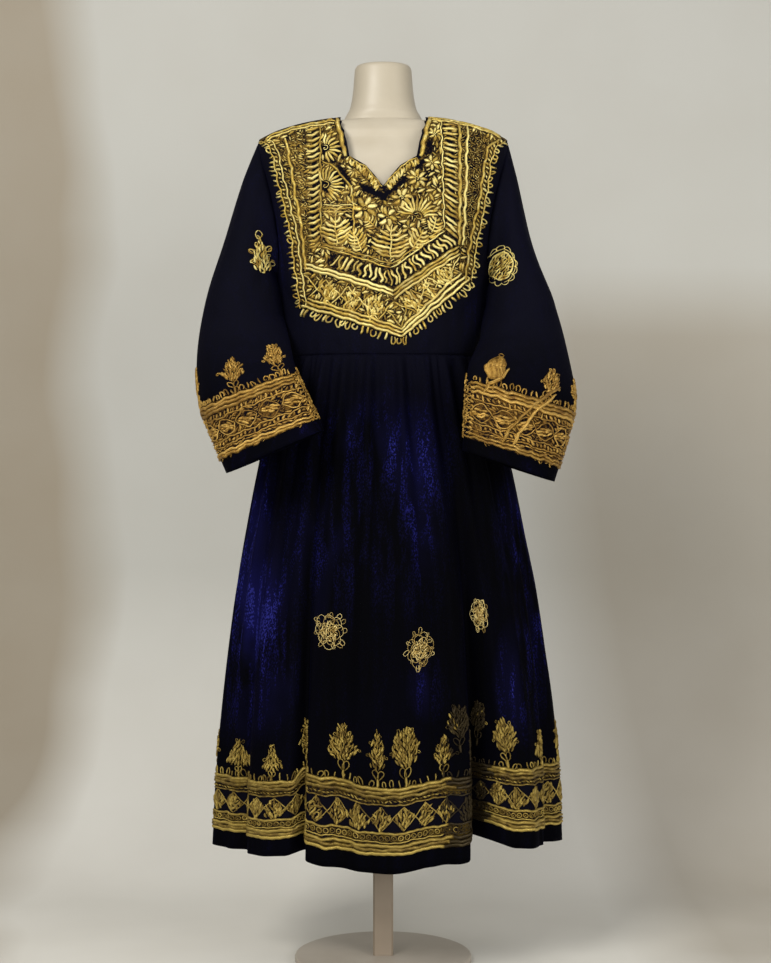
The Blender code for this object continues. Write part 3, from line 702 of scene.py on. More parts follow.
def fine_gathers(angle, below):
    """Small uneven pleats under the waist seam, between the main gathers."""
    radians = np.radians(angle)
    bent = radians * 61 + 1.9 * np.sin(radians * 5 + 0.7) + 1.2 * np.sin(radians * 11)
    rise = np.clip(below / 0.012, 0, 1)
    fade = np.exp(-below / 0.075)
    long_bent = radians * 37 + 2.2 * np.sin(radians * 4 + 1.0) + 1.3 * np.sin(below * 9 + radians * 3)
    long_fade = np.clip(below / 0.05, 0, 1) * np.exp(-below / 0.45)
    return GATHER_DEPTH * rise * fade * np.sin(bent) + 0.0011 * long_fade * np.sin(long_bent)


def skirt(angle, below):
    """Points of the skirt at angles in degrees and a distance below the waist."""
    reach = (WAIST - hem_height(angle)) / SKIRT_LENGTH
    height = WAIST - below * reach
    radians = np.radians(angle)
    deep = np.where(np.sin(radians) >= 0, -skirt_front_depth(height), skirt_back_depth(height))
    width = skirt_width(height)
    wave = radians * GATHERS
    gather = gather_height(below) * (np.cos(wave) + 0.35 * np.cos(2 * wave + 1.0))
    push = fold_reach(angle, height) + gather - gather_height(below)
    push += 0.5 * gather_height(0.0) + fine_gathers(angle, below)
    push += seam_dip(below, 0.0006, 0.004)
    side = np.minimum(angle % 180, 180 - angle % 180) / 180 * math.pi * width
    push += seam_dip(side)
    return section_point(radians, width, deep, height, push, skirt_shift(height))


def section_ring(section, sign, sides):
    """One sleeve section as a ring, from its outer end over the front."""
    turn = np.linspace(0, 2 * math.pi, sides + 1)[:-1, None]
    outer = np.array([section.outer_x, section.middle_y + section.lag, section.outer_z])
    inner = np.array([section.inner_x, section.middle_y - section.lag, section.inner_z])
    wide = (outer - inner) / 2
    wide_way = wide / np.linalg.norm(wide)
    deep = np.array([0.0, -1.0, 0.0])
    deep = deep - wide_way * deep.dot(wide_way)
    deep = deep / np.linalg.norm(deep) * section.half_depth
    ring = (outer + inner) / 2 + wide * np.cos(turn) + deep * np.sin(turn)
    ring[:, 0] *= sign
    return ring


def spread_rings(rings, count):
    """Rings at even distances along smooth curves through the given ones, and those distances."""
    gaps = [np.linalg.norm(b - a, axis=1).mean() for a, b in zip(rings[:-1], rings[1:])]
    place = np.concatenate([[0], np.cumsum(gaps)])
    distances = np.linspace(0, place[-1], count + 1)
    made = []
    for where in distances:
        k = int(np.clip(np.searchsorted(place, where) - 1, 0, len(gaps) - 1))
        u = (where - place[k]) / gaps[k]
        before = rings[k - 1] if k else 2 * rings[0] - rings[1]
        after = rings[k + 2] if k + 2 < len(rings) else 2 * rings[-1] - rings[-2]
        start, end = rings[k], rings[k + 1]
        steady = 2 * start + (end - before) * u
        bend = (2 * before - 5 * start + 4 * end - after) * u**2
        twist = (3 * start - before - 3 * end + after) * u**3
        made.append(0.5 * (steady + bend + twist))
    return np.array(made), distances


def sleeve_grid(loop, sections, sign, creases):
    """A sleeve as a grid of points, rows from the armhole to the mouth, and each row's distance."""
    corners = len(loop)
    places = np.linspace(0, corners, SLEEVE_COLUMNS + 1)[:-1]
    first = read_at(np.concatenate([loop, loop[:1]]), np.arange(corners + 1), places)
    rings = [first] + [section_ring(section, sign, SLEEVE_COLUMNS) for section in sections]
    points, distances = spread_rings(rings, SLEEVE_ROWS)
    outward = unit(points - points.mean(axis=1, keepdims=True))
    girth = np.linalg.norm(np.diff(points, axis=1, append=points[:, :1]), axis=2).sum(axis=1).mean()
    push = np.zeros(points.shape[:2])
    x = np.broadcast_to(np.arange(SLEEVE_COLUMNS) / SLEEVE_COLUMNS * girth, push.shape)
    y = np.broadcast_to(distances[:, None], push.shape)
    for crease in creases:
        for lap in (-1, 0, 1):
            start = ((crease.round_a + lap) * girth, crease.along_a)
            end = ((crease.round_b + lap) * girth, crease.along_b)
            push += crease.depth * soft_line(x, y, start, end, crease.half_width)
    push += seam_dip(distances[:, None], 0.0010, 0.004)
    return points + outward * push[..., None], distances


def grid_normals(points, closed=False, outward=None):
    """Unit normals of a grid of points [row, column, xyz], turned to agree with outward."""
    if closed:
        padded = np.concatenate([points[:, -1:], points, points[:, :1]], axis=1)
        across = (padded[:, 2:] - padded[:, :-2]) / 2
    else:
        across = np.gradient(points, axis=1)
    normal = unit(np.cross(across, np.gradient(points, axis=0)))
    if outward is not None and (normal * outward).sum() < 0:
        normal = -normal
    return normal


# Materials


class Finish:
    """A material under way, with short ways to add nodes. Textures follow the object's own metres."""

    def __init__(self, name, color, roughness):
        self.material = bpy.data.materials.new(name)
        self.material.use_nodes = True
        self.nodes = self.material.node_tree.nodes
        self.links = self.material.node_tree.links
        self.shader = self.nodes["Principled BSDF"]
        self.fix("Base Color", (*color, 1))
        self.fix("Roughness", roughness)

    def fix(self, socket, value):
        self.shader.inputs[socket].default_value = value

    def feed(self, socket, value):
        self.links.new(value, self.shader.inputs[socket])

    def add(self, kind, *inputs, **settings):
        """A node of a kind: inputs are pairs of socket and either an output to link or a value."""
        made = self.nodes.new("ShaderNode" + kind)
        for name, value in settings.items():
            setattr(made, name, value)
        for socket, value in inputs:
            if isinstance(value, bpy.types.NodeSocket):
                self.links.new(value, made.inputs[socket])
            else:
                made.inputs[socket].default_value = value
        return made

    def place(self):
        return self.add("TexCoord").outputs["Object"]

    def axes(self):
        """The three coordinates of a point of the object."""
        return self.add("SeparateXYZ", ("Vector", self.place())).outputs

    def thread_map(self):
        """The map that holds a cord's own length, or how far a ground is stitched."""
        return self.add("UVMap", uv_map="length").outputs["UV"]

    def noise(self, scale, detail=3.0, stretch=(1, 1, 1), distortion=0.0):
        mapping = self.add("Mapping", ("Vector", self.place()), ("Scale", stretch))
        inputs = ("Vector", mapping.outputs["Vector"]), ("Scale", scale), ("Detail", detail)
        return self.add("TexNoise", *inputs, ("Distortion", distortion)).outputs["Fac"]

    def ramp(self, value, *stops):
        """Colours over a value: stops are pairs of place and colour."""
        made = self.add("ValToRGB", ("Fac", value))
        elements = made.color_ramp.elements
        while len(elements) < len(stops):
            elements.new(0.5)
        for element, (place, color) in zip(elements, stops):
            element.position = place
            element.color = (*color, 1)
        return made.outputs["Color"]

    def level(self, value, low, high, to_low=0.0, to_high=1.0):
        """A value spread from one range to another and held within it."""
        ranges = ("From Min", low), ("From Max", high), ("To Min", to_low), ("To Max", to_high)
        return self.add("MapRange", ("Value", value), *ranges).outputs["Result"]

    def mixed(self, factor, first, second):
        """A colour mix; first and second are outputs or colours."""
        made = self.add("Mix", ("Factor", factor), data_type="RGBA")
        for name, value in (("A", first), ("B", second)):
            socket = [s for s in made.inputs if s.name == name and s.type == "RGBA"][0]
            if isinstance(value, tuple):
                socket.default_value = (*value, 1)
            else:
                self.links.new(value, socket)
        return [s for s in made.outputs if s.type == "RGBA"][0]

    def math(self, kind, first, second):
        return self.add("Math", (0, first), (1, second), operation=kind).outputs["Value"]

    def vector(self, kind, first, *second):
        return self.add("VectorMath", (0, first), *((1, value) for value in second), operation=kind)

    def bump(self, height, distance, strength):
        inputs = ("Distance", distance), ("Strength", strength), ("Height", height)
        self.feed("Normal", self.add("Bump", *inputs).outputs["Normal"])


# Where the crushed pile catches the light: middle in metres, reach each way, and strength
SHEEN_PATCHES = table(
    "x y z wide deep tall strength",
    (-0.236, -0.10, 0.600, 0.085, 0.30, 0.240, 0.95),
    (-0.186, -0.10, 0.545, 0.065, 0.30, 0.160, 0.70),
    (-0.210, -0.05, 0.800, 0.045, 0.30, 0.120, 0.60),
    (-0.020, -0.16, 0.860, 0.160, 0.30, 0.110, 0.55),
    (-0.060, -0.18, 0.700, 0.130, 0.30, 0.160, 0.48),
    (0.060, -0.18, 0.760, 0.060, 0.30, 0.200, 0.45),
    (0.226, -0.06, 0.730, 0.055, 0.30, 0.140, 0.70),
    (0.275, -0.04, 0.600, 0.055, 0.30, 0.130, 0.95),
    (0.228, -0.08, 0.490, 0.055, 0.30, 0.120, 0.85),
    (0.078, -0.18, 0.483, 0.045, 0.30, 0.060, 0.50),
    (0.000, 0.00, 1.250, 0.500, 0.50, 0.420, 0.16),
    (-0.180, -0.06, 1.210, 0.042, 0.30, 0.110, 0.38),
    (0.150, -0.08, 1.090, 0.040, 0.30, 0.070, 0.28),
    (-0.100, 0.16, 0.720, 0.140, 0.25, 0.240, 0.60),
    (0.130, 0.16, 0.480, 0.090, 0.25, 0.200, 0.70),
)


def sheen_mask(finish):
    """Sum of soft patches."""
    total = 0.05
    place = finish.place()
    for patch in SHEEN_PATCHES:
        moved = finish.vector("SUBTRACT", place, (patch.x, patch.y, patch.z)).outputs["Vector"]
        scaled = finish.vector("DIVIDE", moved, (patch.wide, patch.deep, patch.tall)).outputs["Vector"]
        away = finish.vector("LENGTH", scaled).outputs["Value"]
        total = finish.math("ADD", finish.level(away, 1.0, 0.2, 0.0, patch.strength), total)
    return total


def velvet_material():
    """Crushed velvet: near-black pile with blue streaks of painted sheen where it leans towards the light.
    Sleeves and bodice are duller, under a flat lighter tone of painted light."""
    finish = Finish("velvet", (0.003, 0.003, 0.010), 0.80)
    finish.fix("Sheen Weight", 0.015)
    finish.fix("Sheen Roughness", 0.35)
    finish.fix("Sheen Tint", (0.10, 0.10, 0.50, 1))
    finish.fix("Specular IOR Level", 0.02)
    streaks = finish.noise(64, 4, (1, 1, 0.11), 0.4)
    patches = finish.noise(9, 3, (1, 1, 0.4), 0.6)
    crushed = finish.noise(460, 2, (1, 1, 0.6))
    mask = sheen_mask(finish)
    lean = finish.math("MULTIPLY", finish.level(streaks, 0.42, 0.62, 0.06, 1.15), mask)
    lean = finish.math("MULTIPLY", lean, finish.level(patches, 0.32, 0.60, 0.35, 1.25))
    lit = finish.math("MULTIPLY", lean, finish.level(crushed, 0.46, 0.64, 0.18, 1.2))
    smooth = finish.math("MULTIPLY", finish.level(patches, 0.42, 0.60, 0.0, 0.40), mask)
    # Painted sheen: the base colour turns blue in streaks and patches where the pile leans towards the light
    pile_and_painted_sheen = finish.ramp(
        finish.math("MAXIMUM", lit, smooth),
        (0.0, (0.0005, 0.0005, 0.0010)),
        (0.22, (0.0016, 0.0016, 0.0095)),
        (0.55, (0.0036, 0.0037, 0.0400)),
        (1.0, (0.0130, 0.0145, 0.1200)),
    )
    # Painted light: higher up, on the bodice and sleeves, the colour is mixed towards a flat lighter tone
    painted_upper_light = finish.level(finish.axes()["Z"], 0.92, 1.06, 0.0, 0.50)
    finish.feed("Base Color", finish.mixed(painted_upper_light, pile_and_painted_sheen, (0.0050, 0.0051, 0.0105)))
    pile = finish.noise(900, 2)
    finish.bump(finish.math("ADD", crushed, finish.math("MULTIPLY", pile, 0.5)), 0.0008, 0.7)
    return finish.material


# Each stitch has one of several tones, kept as steps of its second map coordinate
TONES = 8
TONE_GAP = 4.0


def shaded(color, share):
    return tuple(share * value for value in color)


def gold_material(name, dark, middle, bright):
    """Metal thread wound round a core: its twist follows the cord's own length."""
    finish = Finish(name, middle, 0.42)
    finish.fix("Metallic", 0.68)
    finish.fix("Specular IOR Level", 0.6)
    tone = finish.noise(85, 4, (1, 1, 1), 0.5)
    fine = finish.noise(620, 2)
    color = finish.ramp(tone, (0.30, dark), (0.50, middle), (0.68, bright))
    color = finish.mixed(finish.level(fine, 0.44, 0.62, 0.0, 0.42), color, dark)
    length_map = finish.thread_map()
    second = finish.add("SeparateXYZ", ("Vector", length_map)).outputs["Y"]
    tone_step = finish.level(finish.math("FLOOR", finish.math("DIVIDE", second, TONE_GAP), 0), 0, TONES - 1)
    color = finish.mixed(finish.level(finish.noise(24, 2), 0.44, 0.60, 0.0, 0.34), color, dark)
    color = finish.mixed(finish.level(tone_step, 0.0, 0.45, 0.50, 0.0), color, shaded(dark, 0.42))
    color = finish.mixed(finish.level(tone_step, 0.45, 1.0, 0.0, 0.80), color, bright)
    # Painted shade: tone 0 marks stitches in a fold's shade, mixed almost to black
    color = finish.mixed(finish.level(tone_step, 0.0, 0.1, 0.90, 0.0), color, shaded(dark, 0.14))
    finish.feed("Base Color", color)
    finish.feed("Roughness", finish.level(fine, 0.3, 0.7, 0.30, 0.54))
    slanted = finish.add("Mapping", ("Vector", length_map), ("Rotation", (0, 0, math.radians(35))))
    inputs = ("Vector", slanted.outputs["Vector"]), ("Scale", 1.6), ("Distortion", 0.6)
    finish.bump(finish.add("TexWave", *inputs).outputs["Fac"], 0.0004, 0.7)
    return finish.material


def ground_material(name, bare, full, gold):
    """Cloth between the stitches: couched gold with dark holes, where the velvet shows and painted shade
    stands for the shade between threads, and plain dark where the first map coordinate is 0."""
    dark = (0.0022, 0.0020, 0.0045)
    finish = Finish(name, dark, 0.6)
    finish.fix("Specular IOR Level", 0.02)
    cells = finish.noise(230, 2, (1, 1, 1), 1.2)
    wide = finish.noise(45, 2)
    threads = finish.noise(420, 3, (1, 1, 0.35), 0.8)
    stitched = finish.add("SeparateXYZ", ("Vector", finish.thread_map())).outputs["X"]
    ragged = finish.math("ADD", stitched, finish.level(cells, 0.3, 0.7, -0.35, 0.35))
    # Holes in the gold cover show dark velvet and are also painted shade between the threads
    cover = finish.math("ADD", cells, finish.math("MULTIPLY", wide, 0.5))
    cover = finish.math("MULTIPLY", finish.level(cover, bare, full), finish.level(ragged, 0.40, 0.60))
    gold_tone = finish.mixed(finish.level(threads, 0.36, 0.60), shaded(gold, 0.35), gold)
    finish.feed("Base Color", finish.mixed(cover, dark, gold_tone))
    finish.feed("Metallic", finish.level(cover, 0, 1, 0.0, 0.5))
    finish.feed("Roughness", finish.level(cover, 0, 1, 0.8, 0.45))
    finish.bump(finish.math("ADD", cells, threads), 0.0008, 0.8)
    return finish.material


def form_material():
    """Cream cloth-smooth form, with painted shade that darkens it a little towards the neck."""
    finish = Finish("form_cream", (0.44, 0.39, 0.30), 0.5)
    finish.fix("Coat Weight", 0.06)
    finish.fix("Coat Roughness", 0.35)
    mottle = finish.noise(18, 4)
    cream = finish.ramp(mottle, (0.35, (0.405, 0.358, 0.270)), (0.65, (0.440, 0.396, 0.308)))
    # Painted shade: towards the neck the cream is mixed to a darker tone
    neck = finish.level(finish.axes()["Z"], 1.36, 1.46, 0.0, 1.0)
    finish.feed("Base Color", finish.mixed(neck, cream, (0.355, 0.315, 0.238)))
    finish.feed("Roughness", finish.level(mottle, 0.3, 0.7, 0.42, 0.60))
    finish.bump(finish.noise(700, 3), 0.0002, 0.5)
    return finish.material


def stand_material(name, dark, light):
    """Satin paint with a fine orange peel."""
    finish = Finish(name, dark, 0.5)
    finish.feed("Base Color", finish.ramp(finish.noise(9, 3), (0.35, dark), (0.65, light)))
    peel = finish.noise(1100, 3)
    finish.feed("Roughness", finish.level(peel, 0.3, 0.7, 0.40, 0.58))
    finish.bump(peel, 0.00015, 0.5)
    return finish.material


VELVET = velvet_material()
BIB_GOLD, GOLD, HEM_GOLD, CUFF_GOLD = (
    gold_material(row.name, row.dark, row.middle, row.bright)
    for row in table(
        "name dark middle bright",
        ("bib_gold_thread", (0.350, 0.205, 0.034), (0.760, 0.560, 0.105), (0.980, 0.865, 0.345)),
        ("gold_thread", (0.260, 0.160, 0.040), (0.500, 0.360, 0.100), (0.800, 0.660, 0.290)),
        ("hem_gold_thread", (0.105, 0.064, 0.010), (0.250, 0.167, 0.026), (0.440, 0.325, 0.076)),
        ("cuff_gold_thread", (0.190, 0.094, 0.015), (0.430, 0.250, 0.041), (0.580, 0.370, 0.090)),
    )
)
BIB_GROUND = ground_material("bib_ground", 0.70, 0.80, (0.150, 0.094, 0.022))
CUFF_GROUND = ground_material("cuff_ground", 0.72, 0.82, (0.085, 0.043, 0.009))
HEM_GROUND = ground_material("hem_ground", 0.70, 0.80, (0.070, 0.044, 0.009))
FORM_CREAM = form_material()
POST_PAINT = stand_material("post_paint", (0.200, 0.158, 0.112), (0.240, 0.195, 0.145))
BASE_PAINT = stand_material("base_paint", (0.330, 0.290, 0.235), (0.375, 0.335, 0.280))


# Meshes


def placed(name, data):
    """A new object of the scene."""
    made = bpy.data.objects.new(name, data)
    bpy.context.scene.collection.objects.link(made)
    return made


def add_mesh(name, vertices, faces, finish, uv=None):
    """A piece of the dress or the form, which rides on the one body."""
    mesh = bpy.data.meshes.new(name)
    mesh.from_pydata(np.asarray(vertices).tolist(), [], faces)
    mesh.materials.append(finish)
    mesh.shade_smooth()
    if uv is not None:
        layer = mesh.uv_layers.new(name="length")
        corners = np.empty(len(mesh.loops), int)
        mesh.loops.foreach_get("vertex_index", corners)
        layer.data.foreach_set("uv", np.asarray(uv)[corners].ravel())
    made = placed(name, mesh)
    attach(made, "root")
    return made


def grid_faces(rows, columns, closed):
    """Quads of a grid whose columns may run round."""
    last = columns if closed else columns - 1
    r, c = np.meshgrid(np.arange(rows - 1), np.arange(last), indexing="ij")
    n = (c + 1) % columns
    near, far = r * columns, (r + 1) * columns
    return np.stack([near + c, near + n, far + n, far + c], axis=-1).reshape(-1, 4)


def shell(name, outer, normal, closed, thickness, finish, cover=None):
    """A closed wall of cloth between a grid of points and the same points moved in. cover, if given,
    is kept as the first map coordinate."""
    rows, columns = outer.shape[:2]
    inner = outer - normal * thickness
    vertices = np.concatenate([outer.reshape(-1, 3), inner.reshape(-1, 3)])
    under = rows * columns
    quads = grid_faces(rows, columns, closed)
    sides = [quads, quads[:, ::-1] + under]
    c = np.arange(columns if closed else columns - 1)
    n = (c + 1) % columns
    foot = (rows - 1) * columns
    sides.append(np.stack([c, c + under, n + under, n], axis=1))
    sides.append(np.stack([foot + c, foot + n, foot + n + under, foot + c + under], axis=1))
    if not closed:
        a = np.arange(rows - 1) * columns
        b = a + columns - 1
        sides.append(np.stack([a, a + columns, a + columns + under, a + under], axis=1))
        sides.append(np.stack([b, b + under, b + columns + under, b + columns], axis=1))
    faces = np.concatenate(sides)
    first = vertices[faces[0]]
    facing = np.cross(first[1] - first[0], first[2] - first[0])
    if facing @ normal.reshape(-1, 3)[0] < 0:
        faces = faces[:, ::-1]
    uv = None if cover is None else np.stack([np.tile(cover.ravel(), 2)] * 2, axis=1)
    return add_mesh(name, vertices, faces.tolist(), finish, uv)


# Gold thread work: strokes, motifs and bands

# Widths of the strokes; those wider than THICK have a flat top
THREAD = 0.0024
CORD = 0.0033
THICK = 0.0042
BRAID = 0.0050
# Height of a stroke as a share of its width, its limit, and how deep its edges sink into the cloth
RISE = 0.52
HIGHEST = 0.0027
SUNK = 0.0003
# Steps of curled, bent and straight strokes, and the step at which a direction is read
CURL_STEP = 0.0024
PATH_STEP = 0.0030
LONG_STEP = 0.0050
READ_STEP = 0.001
# Length of one unit of the map that a cord's twist follows, and how far the hand drifts
MAP_UNIT = 0.004
HAND_DRIFT = 0.0006
# Cells and margin of the plane in which gaps are found, and the points and least steps of a filling stitch
GAP_CELL = 0.0008
PLANE_MARGIN = 0.006
FEELERS = 9
FEWEST_STEPS = 3
# Parts of a band's two lines
BAND_PARTS = 239

# Sections of a stroke from edge to edge, in shares of half its width and of its height
RIDGE = ((-1, 0), (0, 1), (1, 0))
FLAT_TOP = ((-1, 0), (-0.5, 0.9), (0.5, 0.9), (1, 0))

# The tone of a stroke is drawn from below its top
Stroke = namedtuple("Stroke", "points width closed pointed top", defaults=(TONES,))


def turned(points, angle=0.0, at=(0.0, 0.0), size=1.0):
    points = np.asarray(points, float) * size
    c, s = math.cos(angle), math.sin(angle)
    return points @ np.array([[c, s], [-s, c]]) + np.asarray(at, float)


def inside(points, outline):
    """Which points lie inside a closed outline."""
    x, y = points.T
    hit = np.zeros(len(points), bool)
    for (x0, y0), (x1, y1) in zip(outline, np.roll(outline, -1, axis=0)):
        if y0 != y1:
            across = x0 + (x1 - x0) * (y - y0) / (y1 - y0)
            hit ^= ((y0 > y) != (y1 > y)) & (x < across)
    return hit


class Plane:
    """A fine grid of the design that remembers where stitches lie."""

    def __init__(self, outline):
        self.low = outline.min(axis=0) - PLANE_MARGIN
        size = outline.max(axis=0) + PLANE_MARGIN - self.low
        self.taken = np.zeros(np.ceil(size / GAP_CELL).astype(int), bool)

    def cells(self, points):
        return np.floor((points - self.low) / GAP_CELL).astype(int)

    def mark(self, points, radius):
        reach = int(math.ceil(np.max(radius) / GAP_CELL))
        spot = self.cells(points)
        for dx in range(-reach, reach + 1):
            for dy in range(-reach, reach + 1):
                near = spot[(dx * dx + dy * dy) * GAP_CELL**2 <= np.broadcast_to(radius, len(spot)) ** 2]
                x, y = near[:, 0] + dx, near[:, 1] + dy
                held = (x >= 0) & (y >= 0) & (x < self.taken.shape[0]) & (y < self.taken.shape[1])
                self.taken[x[held], y[held]] = True

    def free(self, points):
        x, y = np.clip(self.cells(points), 0, np.array(self.taken.shape) - 1).T
        return ~self.taken[x, y]


def hand_drawn(points, reach):
    """The design with the small drift of hand work."""
    x, y = points.T
    drift_x = np.sin(y * 210 + 1.3 * np.sin(x * 90)) + 0.6 * np.sin(y * 470 + x * 130)
    drift_y = np.sin(x * 190 + 1.1 * np.sin(y * 80)) + 0.6 * np.sin(x * 430 - y * 150)
    return points + reach * np.stack([drift_x, drift_y], axis=1)


class Stitches:
    """Cords couched on one cloth, collected into one mesh. place gives points and normals. Within a
    stretch that lies in a fold's shade the thread gets painted shade, its darkest tone."""

    def __init__(self, place, seed, drift=HAND_DRIFT):
        self.place = place
        self.drift = drift
        self.strokes = []
        self.bare = []
        self.fold_shade_stretches = []
        self.chance = np.random.default_rng(seed)

    def cord(self, points, width=CORD, closed=False, pointed=False, step=None):
        points = np.asarray(points, float)
        step = step or (LONG_STEP if len(points) == 2 and not closed else PATH_STEP)
        self.strokes.append(Stroke(resampled(points, step, closed), width, closed, pointed))

    def motif(self, strokes, at, angle=0.0, size=1.0):
        """Strokes in their own metres, turned and put at a place of the design."""
        for stroke in strokes:
            points = turned(stroke.points, angle, at, size)
            self.cord(points, stroke.width * size, stroke.closed, stroke.pointed)

    def keep_bare(self, points, width):
        """A line of the design that fill_gaps leaves as bare velvet."""
        self.bare.append(Stroke(np.asarray(points, float), width, False, False))

    def fill_gaps(self, outline, pitch, length, width, heading, spread, spare, top=TONES):
        """Short stitches wherever the inside of an outline is still bare."""
        outline = np.asarray(outline, float)
        plane = Plane(outline)
        held = self.strokes + self.bare
        lines = [resampled(stroke.points, GAP_CELL, stroke.closed) for stroke in held]
        radii = [np.full(len(line), stroke.width / 2) for line, stroke in zip(lines, held)]
        plane.mark(np.concatenate(lines), np.concatenate(radii))
        low, high = outline.min(axis=0), outline.max(axis=0)
        x, y = np.meshgrid(np.arange(low[0], high[0], pitch), np.arange(low[1], high[1], pitch * 0.8))
        x = x + pitch / 2 * (np.arange(len(y)) % 2)[:, None]
        spots = np.stack([x.ravel(), y.ravel()], axis=1)
        spots += self.chance.uniform(-0.3, 0.3, spots.shape) * pitch
        spots = spots[inside(spots, outline)]
        self.chance.shuffle(spots)
        for spot in spots:
            angle = heading + self.chance.normal(0, spread)
            way = np.array([math.cos(angle), math.sin(angle)])
            line = spot + way * np.linspace(-0.5, 0.5, FEELERS)[:, None] * length
            free = plane.free(line)
            first = last = FEELERS // 2
            if not free[first]:
                continue
            while first > 0 and free[first - 1]:
                first -= 1
            while last < FEELERS - 1 and free[last + 1]:
                last += 1
            if last - first < FEWEST_STEPS:
                continue
            part = line[[first, last]]
            self.strokes.append(Stroke(resampled(part, LONG_STEP), width, False, True, top))
            plane.mark(resampled(part, GAP_CELL), width / 2 + spare)

    def surface(self, stroke, middle, up, lift):
        """Points of a cord's surface: rows along it, columns over it from edge to edge."""
        share = np.linspace(0, 1, len(middle))[:, None]
        if stroke.closed:
            ahead = np.roll(middle, -1, axis=0) - np.roll(middle, 1, axis=0)
        else:
            ahead = np.gradient(middle, axis=0)
        side = unit(np.cross(up, ahead)) * stroke.width / 2
        if stroke.pointed:
            side = side * (0.35 + 0.65 * np.sin(share * math.pi) ** 0.6)
        elif not stroke.closed:
            side = side * (0.7 + 0.3 * np.clip(np.minimum(share, 1 - share) * 8, 0, 1))
        rise = min(stroke.width * RISE, HIGHEST) * (0.85 + 0.4 * self.chance.random())
        tall = np.linalg.norm(side, axis=1, keepdims=True) / (stroke.width / 2) * rise + lift
        profile = FLAT_TOP if stroke.width > THICK else RIDGE
        return np.stack([middle + side * x + up * (tall * h if h else -SUNK) for x, h in profile], axis=1)

    def thread_map(self, stroke, middle, sides):
        """The distance along a cord and across it; the second one is moved up by the cord's tone."""
        run = run_along(middle) / MAP_UNIT
        tone = np.full((len(middle), 1), self.chance.integers(1, stroke.top))
        where = stroke.points[:, :1] + self.chance.normal(0, 0.010)
        # Painted shade: stitches within a fold's shade get tone 0, the darkest
        for low, high in self.fold_shade_stretches:
            tone[(where > low) & (where < high)] = 0
        across = np.linspace(0, stroke.width / MAP_UNIT, sides) + TONE_GAP * tone + 0.1
        return np.stack(np.broadcast_arrays(run[:, None], across), axis=-1).reshape(-1, 2)

    def build(self, name, finish, lift=0.0):
        """All strokes as one mesh."""
        design = hand_drawn(np.concatenate([stroke.points for stroke in self.strokes]), self.drift)
        points, normals = self.place(design[:, 0], design[:, 1])
        vertices, faces, uv = [], [], []
        begin = base = 0
        for stroke in self.strokes:
            end = begin + len(stroke.points)
            middle, up = points[begin:end], normals[begin:end]
            begin = end
            rings = self.surface(stroke, middle, up, lift)
            count, sides = rings.shape[:2]
            vertices.append(rings.reshape(-1, 3))
            uv.append(self.thread_map(stroke, middle, sides))
            faces += cord_faces(count, sides, stroke.closed, base)
            base += count * sides
        add_mesh(name, np.concatenate(vertices), faces, finish, np.concatenate(uv))


def cord_faces(count, sides, closed, base):
    """Faces of a cord from its first vertex on; an open cord has two end caps."""
    k = np.arange(count if closed else count - 1)
    after = (k + 1) % count
    faces = []
    for j in range(sides):
        m = (j + 1) % sides
        quads = np.stack([after * sides + j, after * sides + m, k * sides + m, k * sides + j], axis=1)
        faces += (quads + base).tolist()
    if not closed:
        last = base + (count - 1) * sides
        faces += [range(base, base + sides), range(last + sides - 1, last - 1, -1)]
    return faces


# Motifs, each a list of strokes about its own middle or root, growing upwards


def way_of(angle):
    """Unit direction of an angle in degrees."""
    return np.array([math.cos(math.radians(angle)), math.sin(math.radians(angle))])


def arc(radius, start, end, count=16, middle=(0, 0), flat=1.0):
    turn = np.linspace(math.radians(start), math.radians(end), count)
    return np.stack([middle[0] + radius * np.cos(turn), middle[1] + radius * flat * np.sin(turn)], axis=1)


def ring(radius, width, flat=1.0, middle=(0, 0)):
    return Stroke(arc(radius, 0, 345, 20, middle, flat), width, True, False)


def petal(root, angle, length, width):
    """A pointed stitch with a soft bend."""
    way = way_of(angle)
    share = np.linspace(0, 1, 5)[:, None]
    bow = np.array([-way[1], way[0]]) * width * 0.12 * np.sin(share * math.pi)
    return Stroke(np.asarray(root, float) + way * length * share + bow, width, False, True)


def coil(radius, turns, width):
    share = np.linspace(0.12, 1, int(14 * turns))
    turn = share * turns * 2 * math.pi
    points = np.stack([radius * share * np.cos(turn), radius * share * np.sin(turn)], axis=1)
    return Stroke(points, width, False, False)


def loop(root, angle, length, width, thread):
    """A drop-shaped loop that stands on its root."""
    turn = np.linspace(0.10, 0.90, 14) * 2 * math.pi
    x = length / 2 * (1 - np.cos(turn))
    y = width / 2 * np.sin(turn) * (0.55 + 0.45 * (1 - np.cos(turn)) / 2)
    return Stroke(turned(np.stack([x, y], axis=1), math.radians(angle), root), thread, False, False)


def filled(outline, angle, pitch, width):
    """Satin stitches side by side across an outline, along an angle in degrees."""
    outline = np.asarray(outline, float)
    way = way_of(angle)
    beside = np.array([-way[1], way[0]])
    along_way = outline @ way
    off = outline @ beside
    made = []
    for stop in np.arange(off.min() + pitch * 0.55, off.max(), pitch):
        cuts = []
        for k in range(len(outline)):
            n = (k + 1) % len(outline)
            if (off[k] - stop) * (off[n] - stop) < 0:
                share = (stop - off[k]) / (off[n] - off[k])
                cuts.append(along_way[k] + share * (along_way[n] - along_way[k]))
        cuts.sort()
        for a, b in zip(cuts[::2], cuts[1::2]):
            if b - a > pitch * 0.7:
                ends = np.array([a, b])[:, None] * way + stop * beside
                made.append(Stroke(ends, width, False, False))
    return made


def rosette(radius, petals):
    """A flower with a coiled middle and rounded petals."""
    made = [coil(radius * 0.26, 1.4, THREAD * 0.8)]
    for k in range(petals):
        angle = 360 * (k + 0.3) / petals
        root = arc(radius * 0.27, angle, angle, 1)[0]
        width = min(2 * math.pi * radius * 0.62 / petals * 0.86, radius * 0.5)
        made.append(petal(root, angle, radius - radius * 0.27, width))
    return made


def grain(root, angle, length, width):
    """One short thick stitch, pointed at both ends."""
    points = np.asarray(root, float) + way_of(angle) * length * np.array([[-0.5], [0.0], [0.5]])
    return Stroke(points, width, False, True)


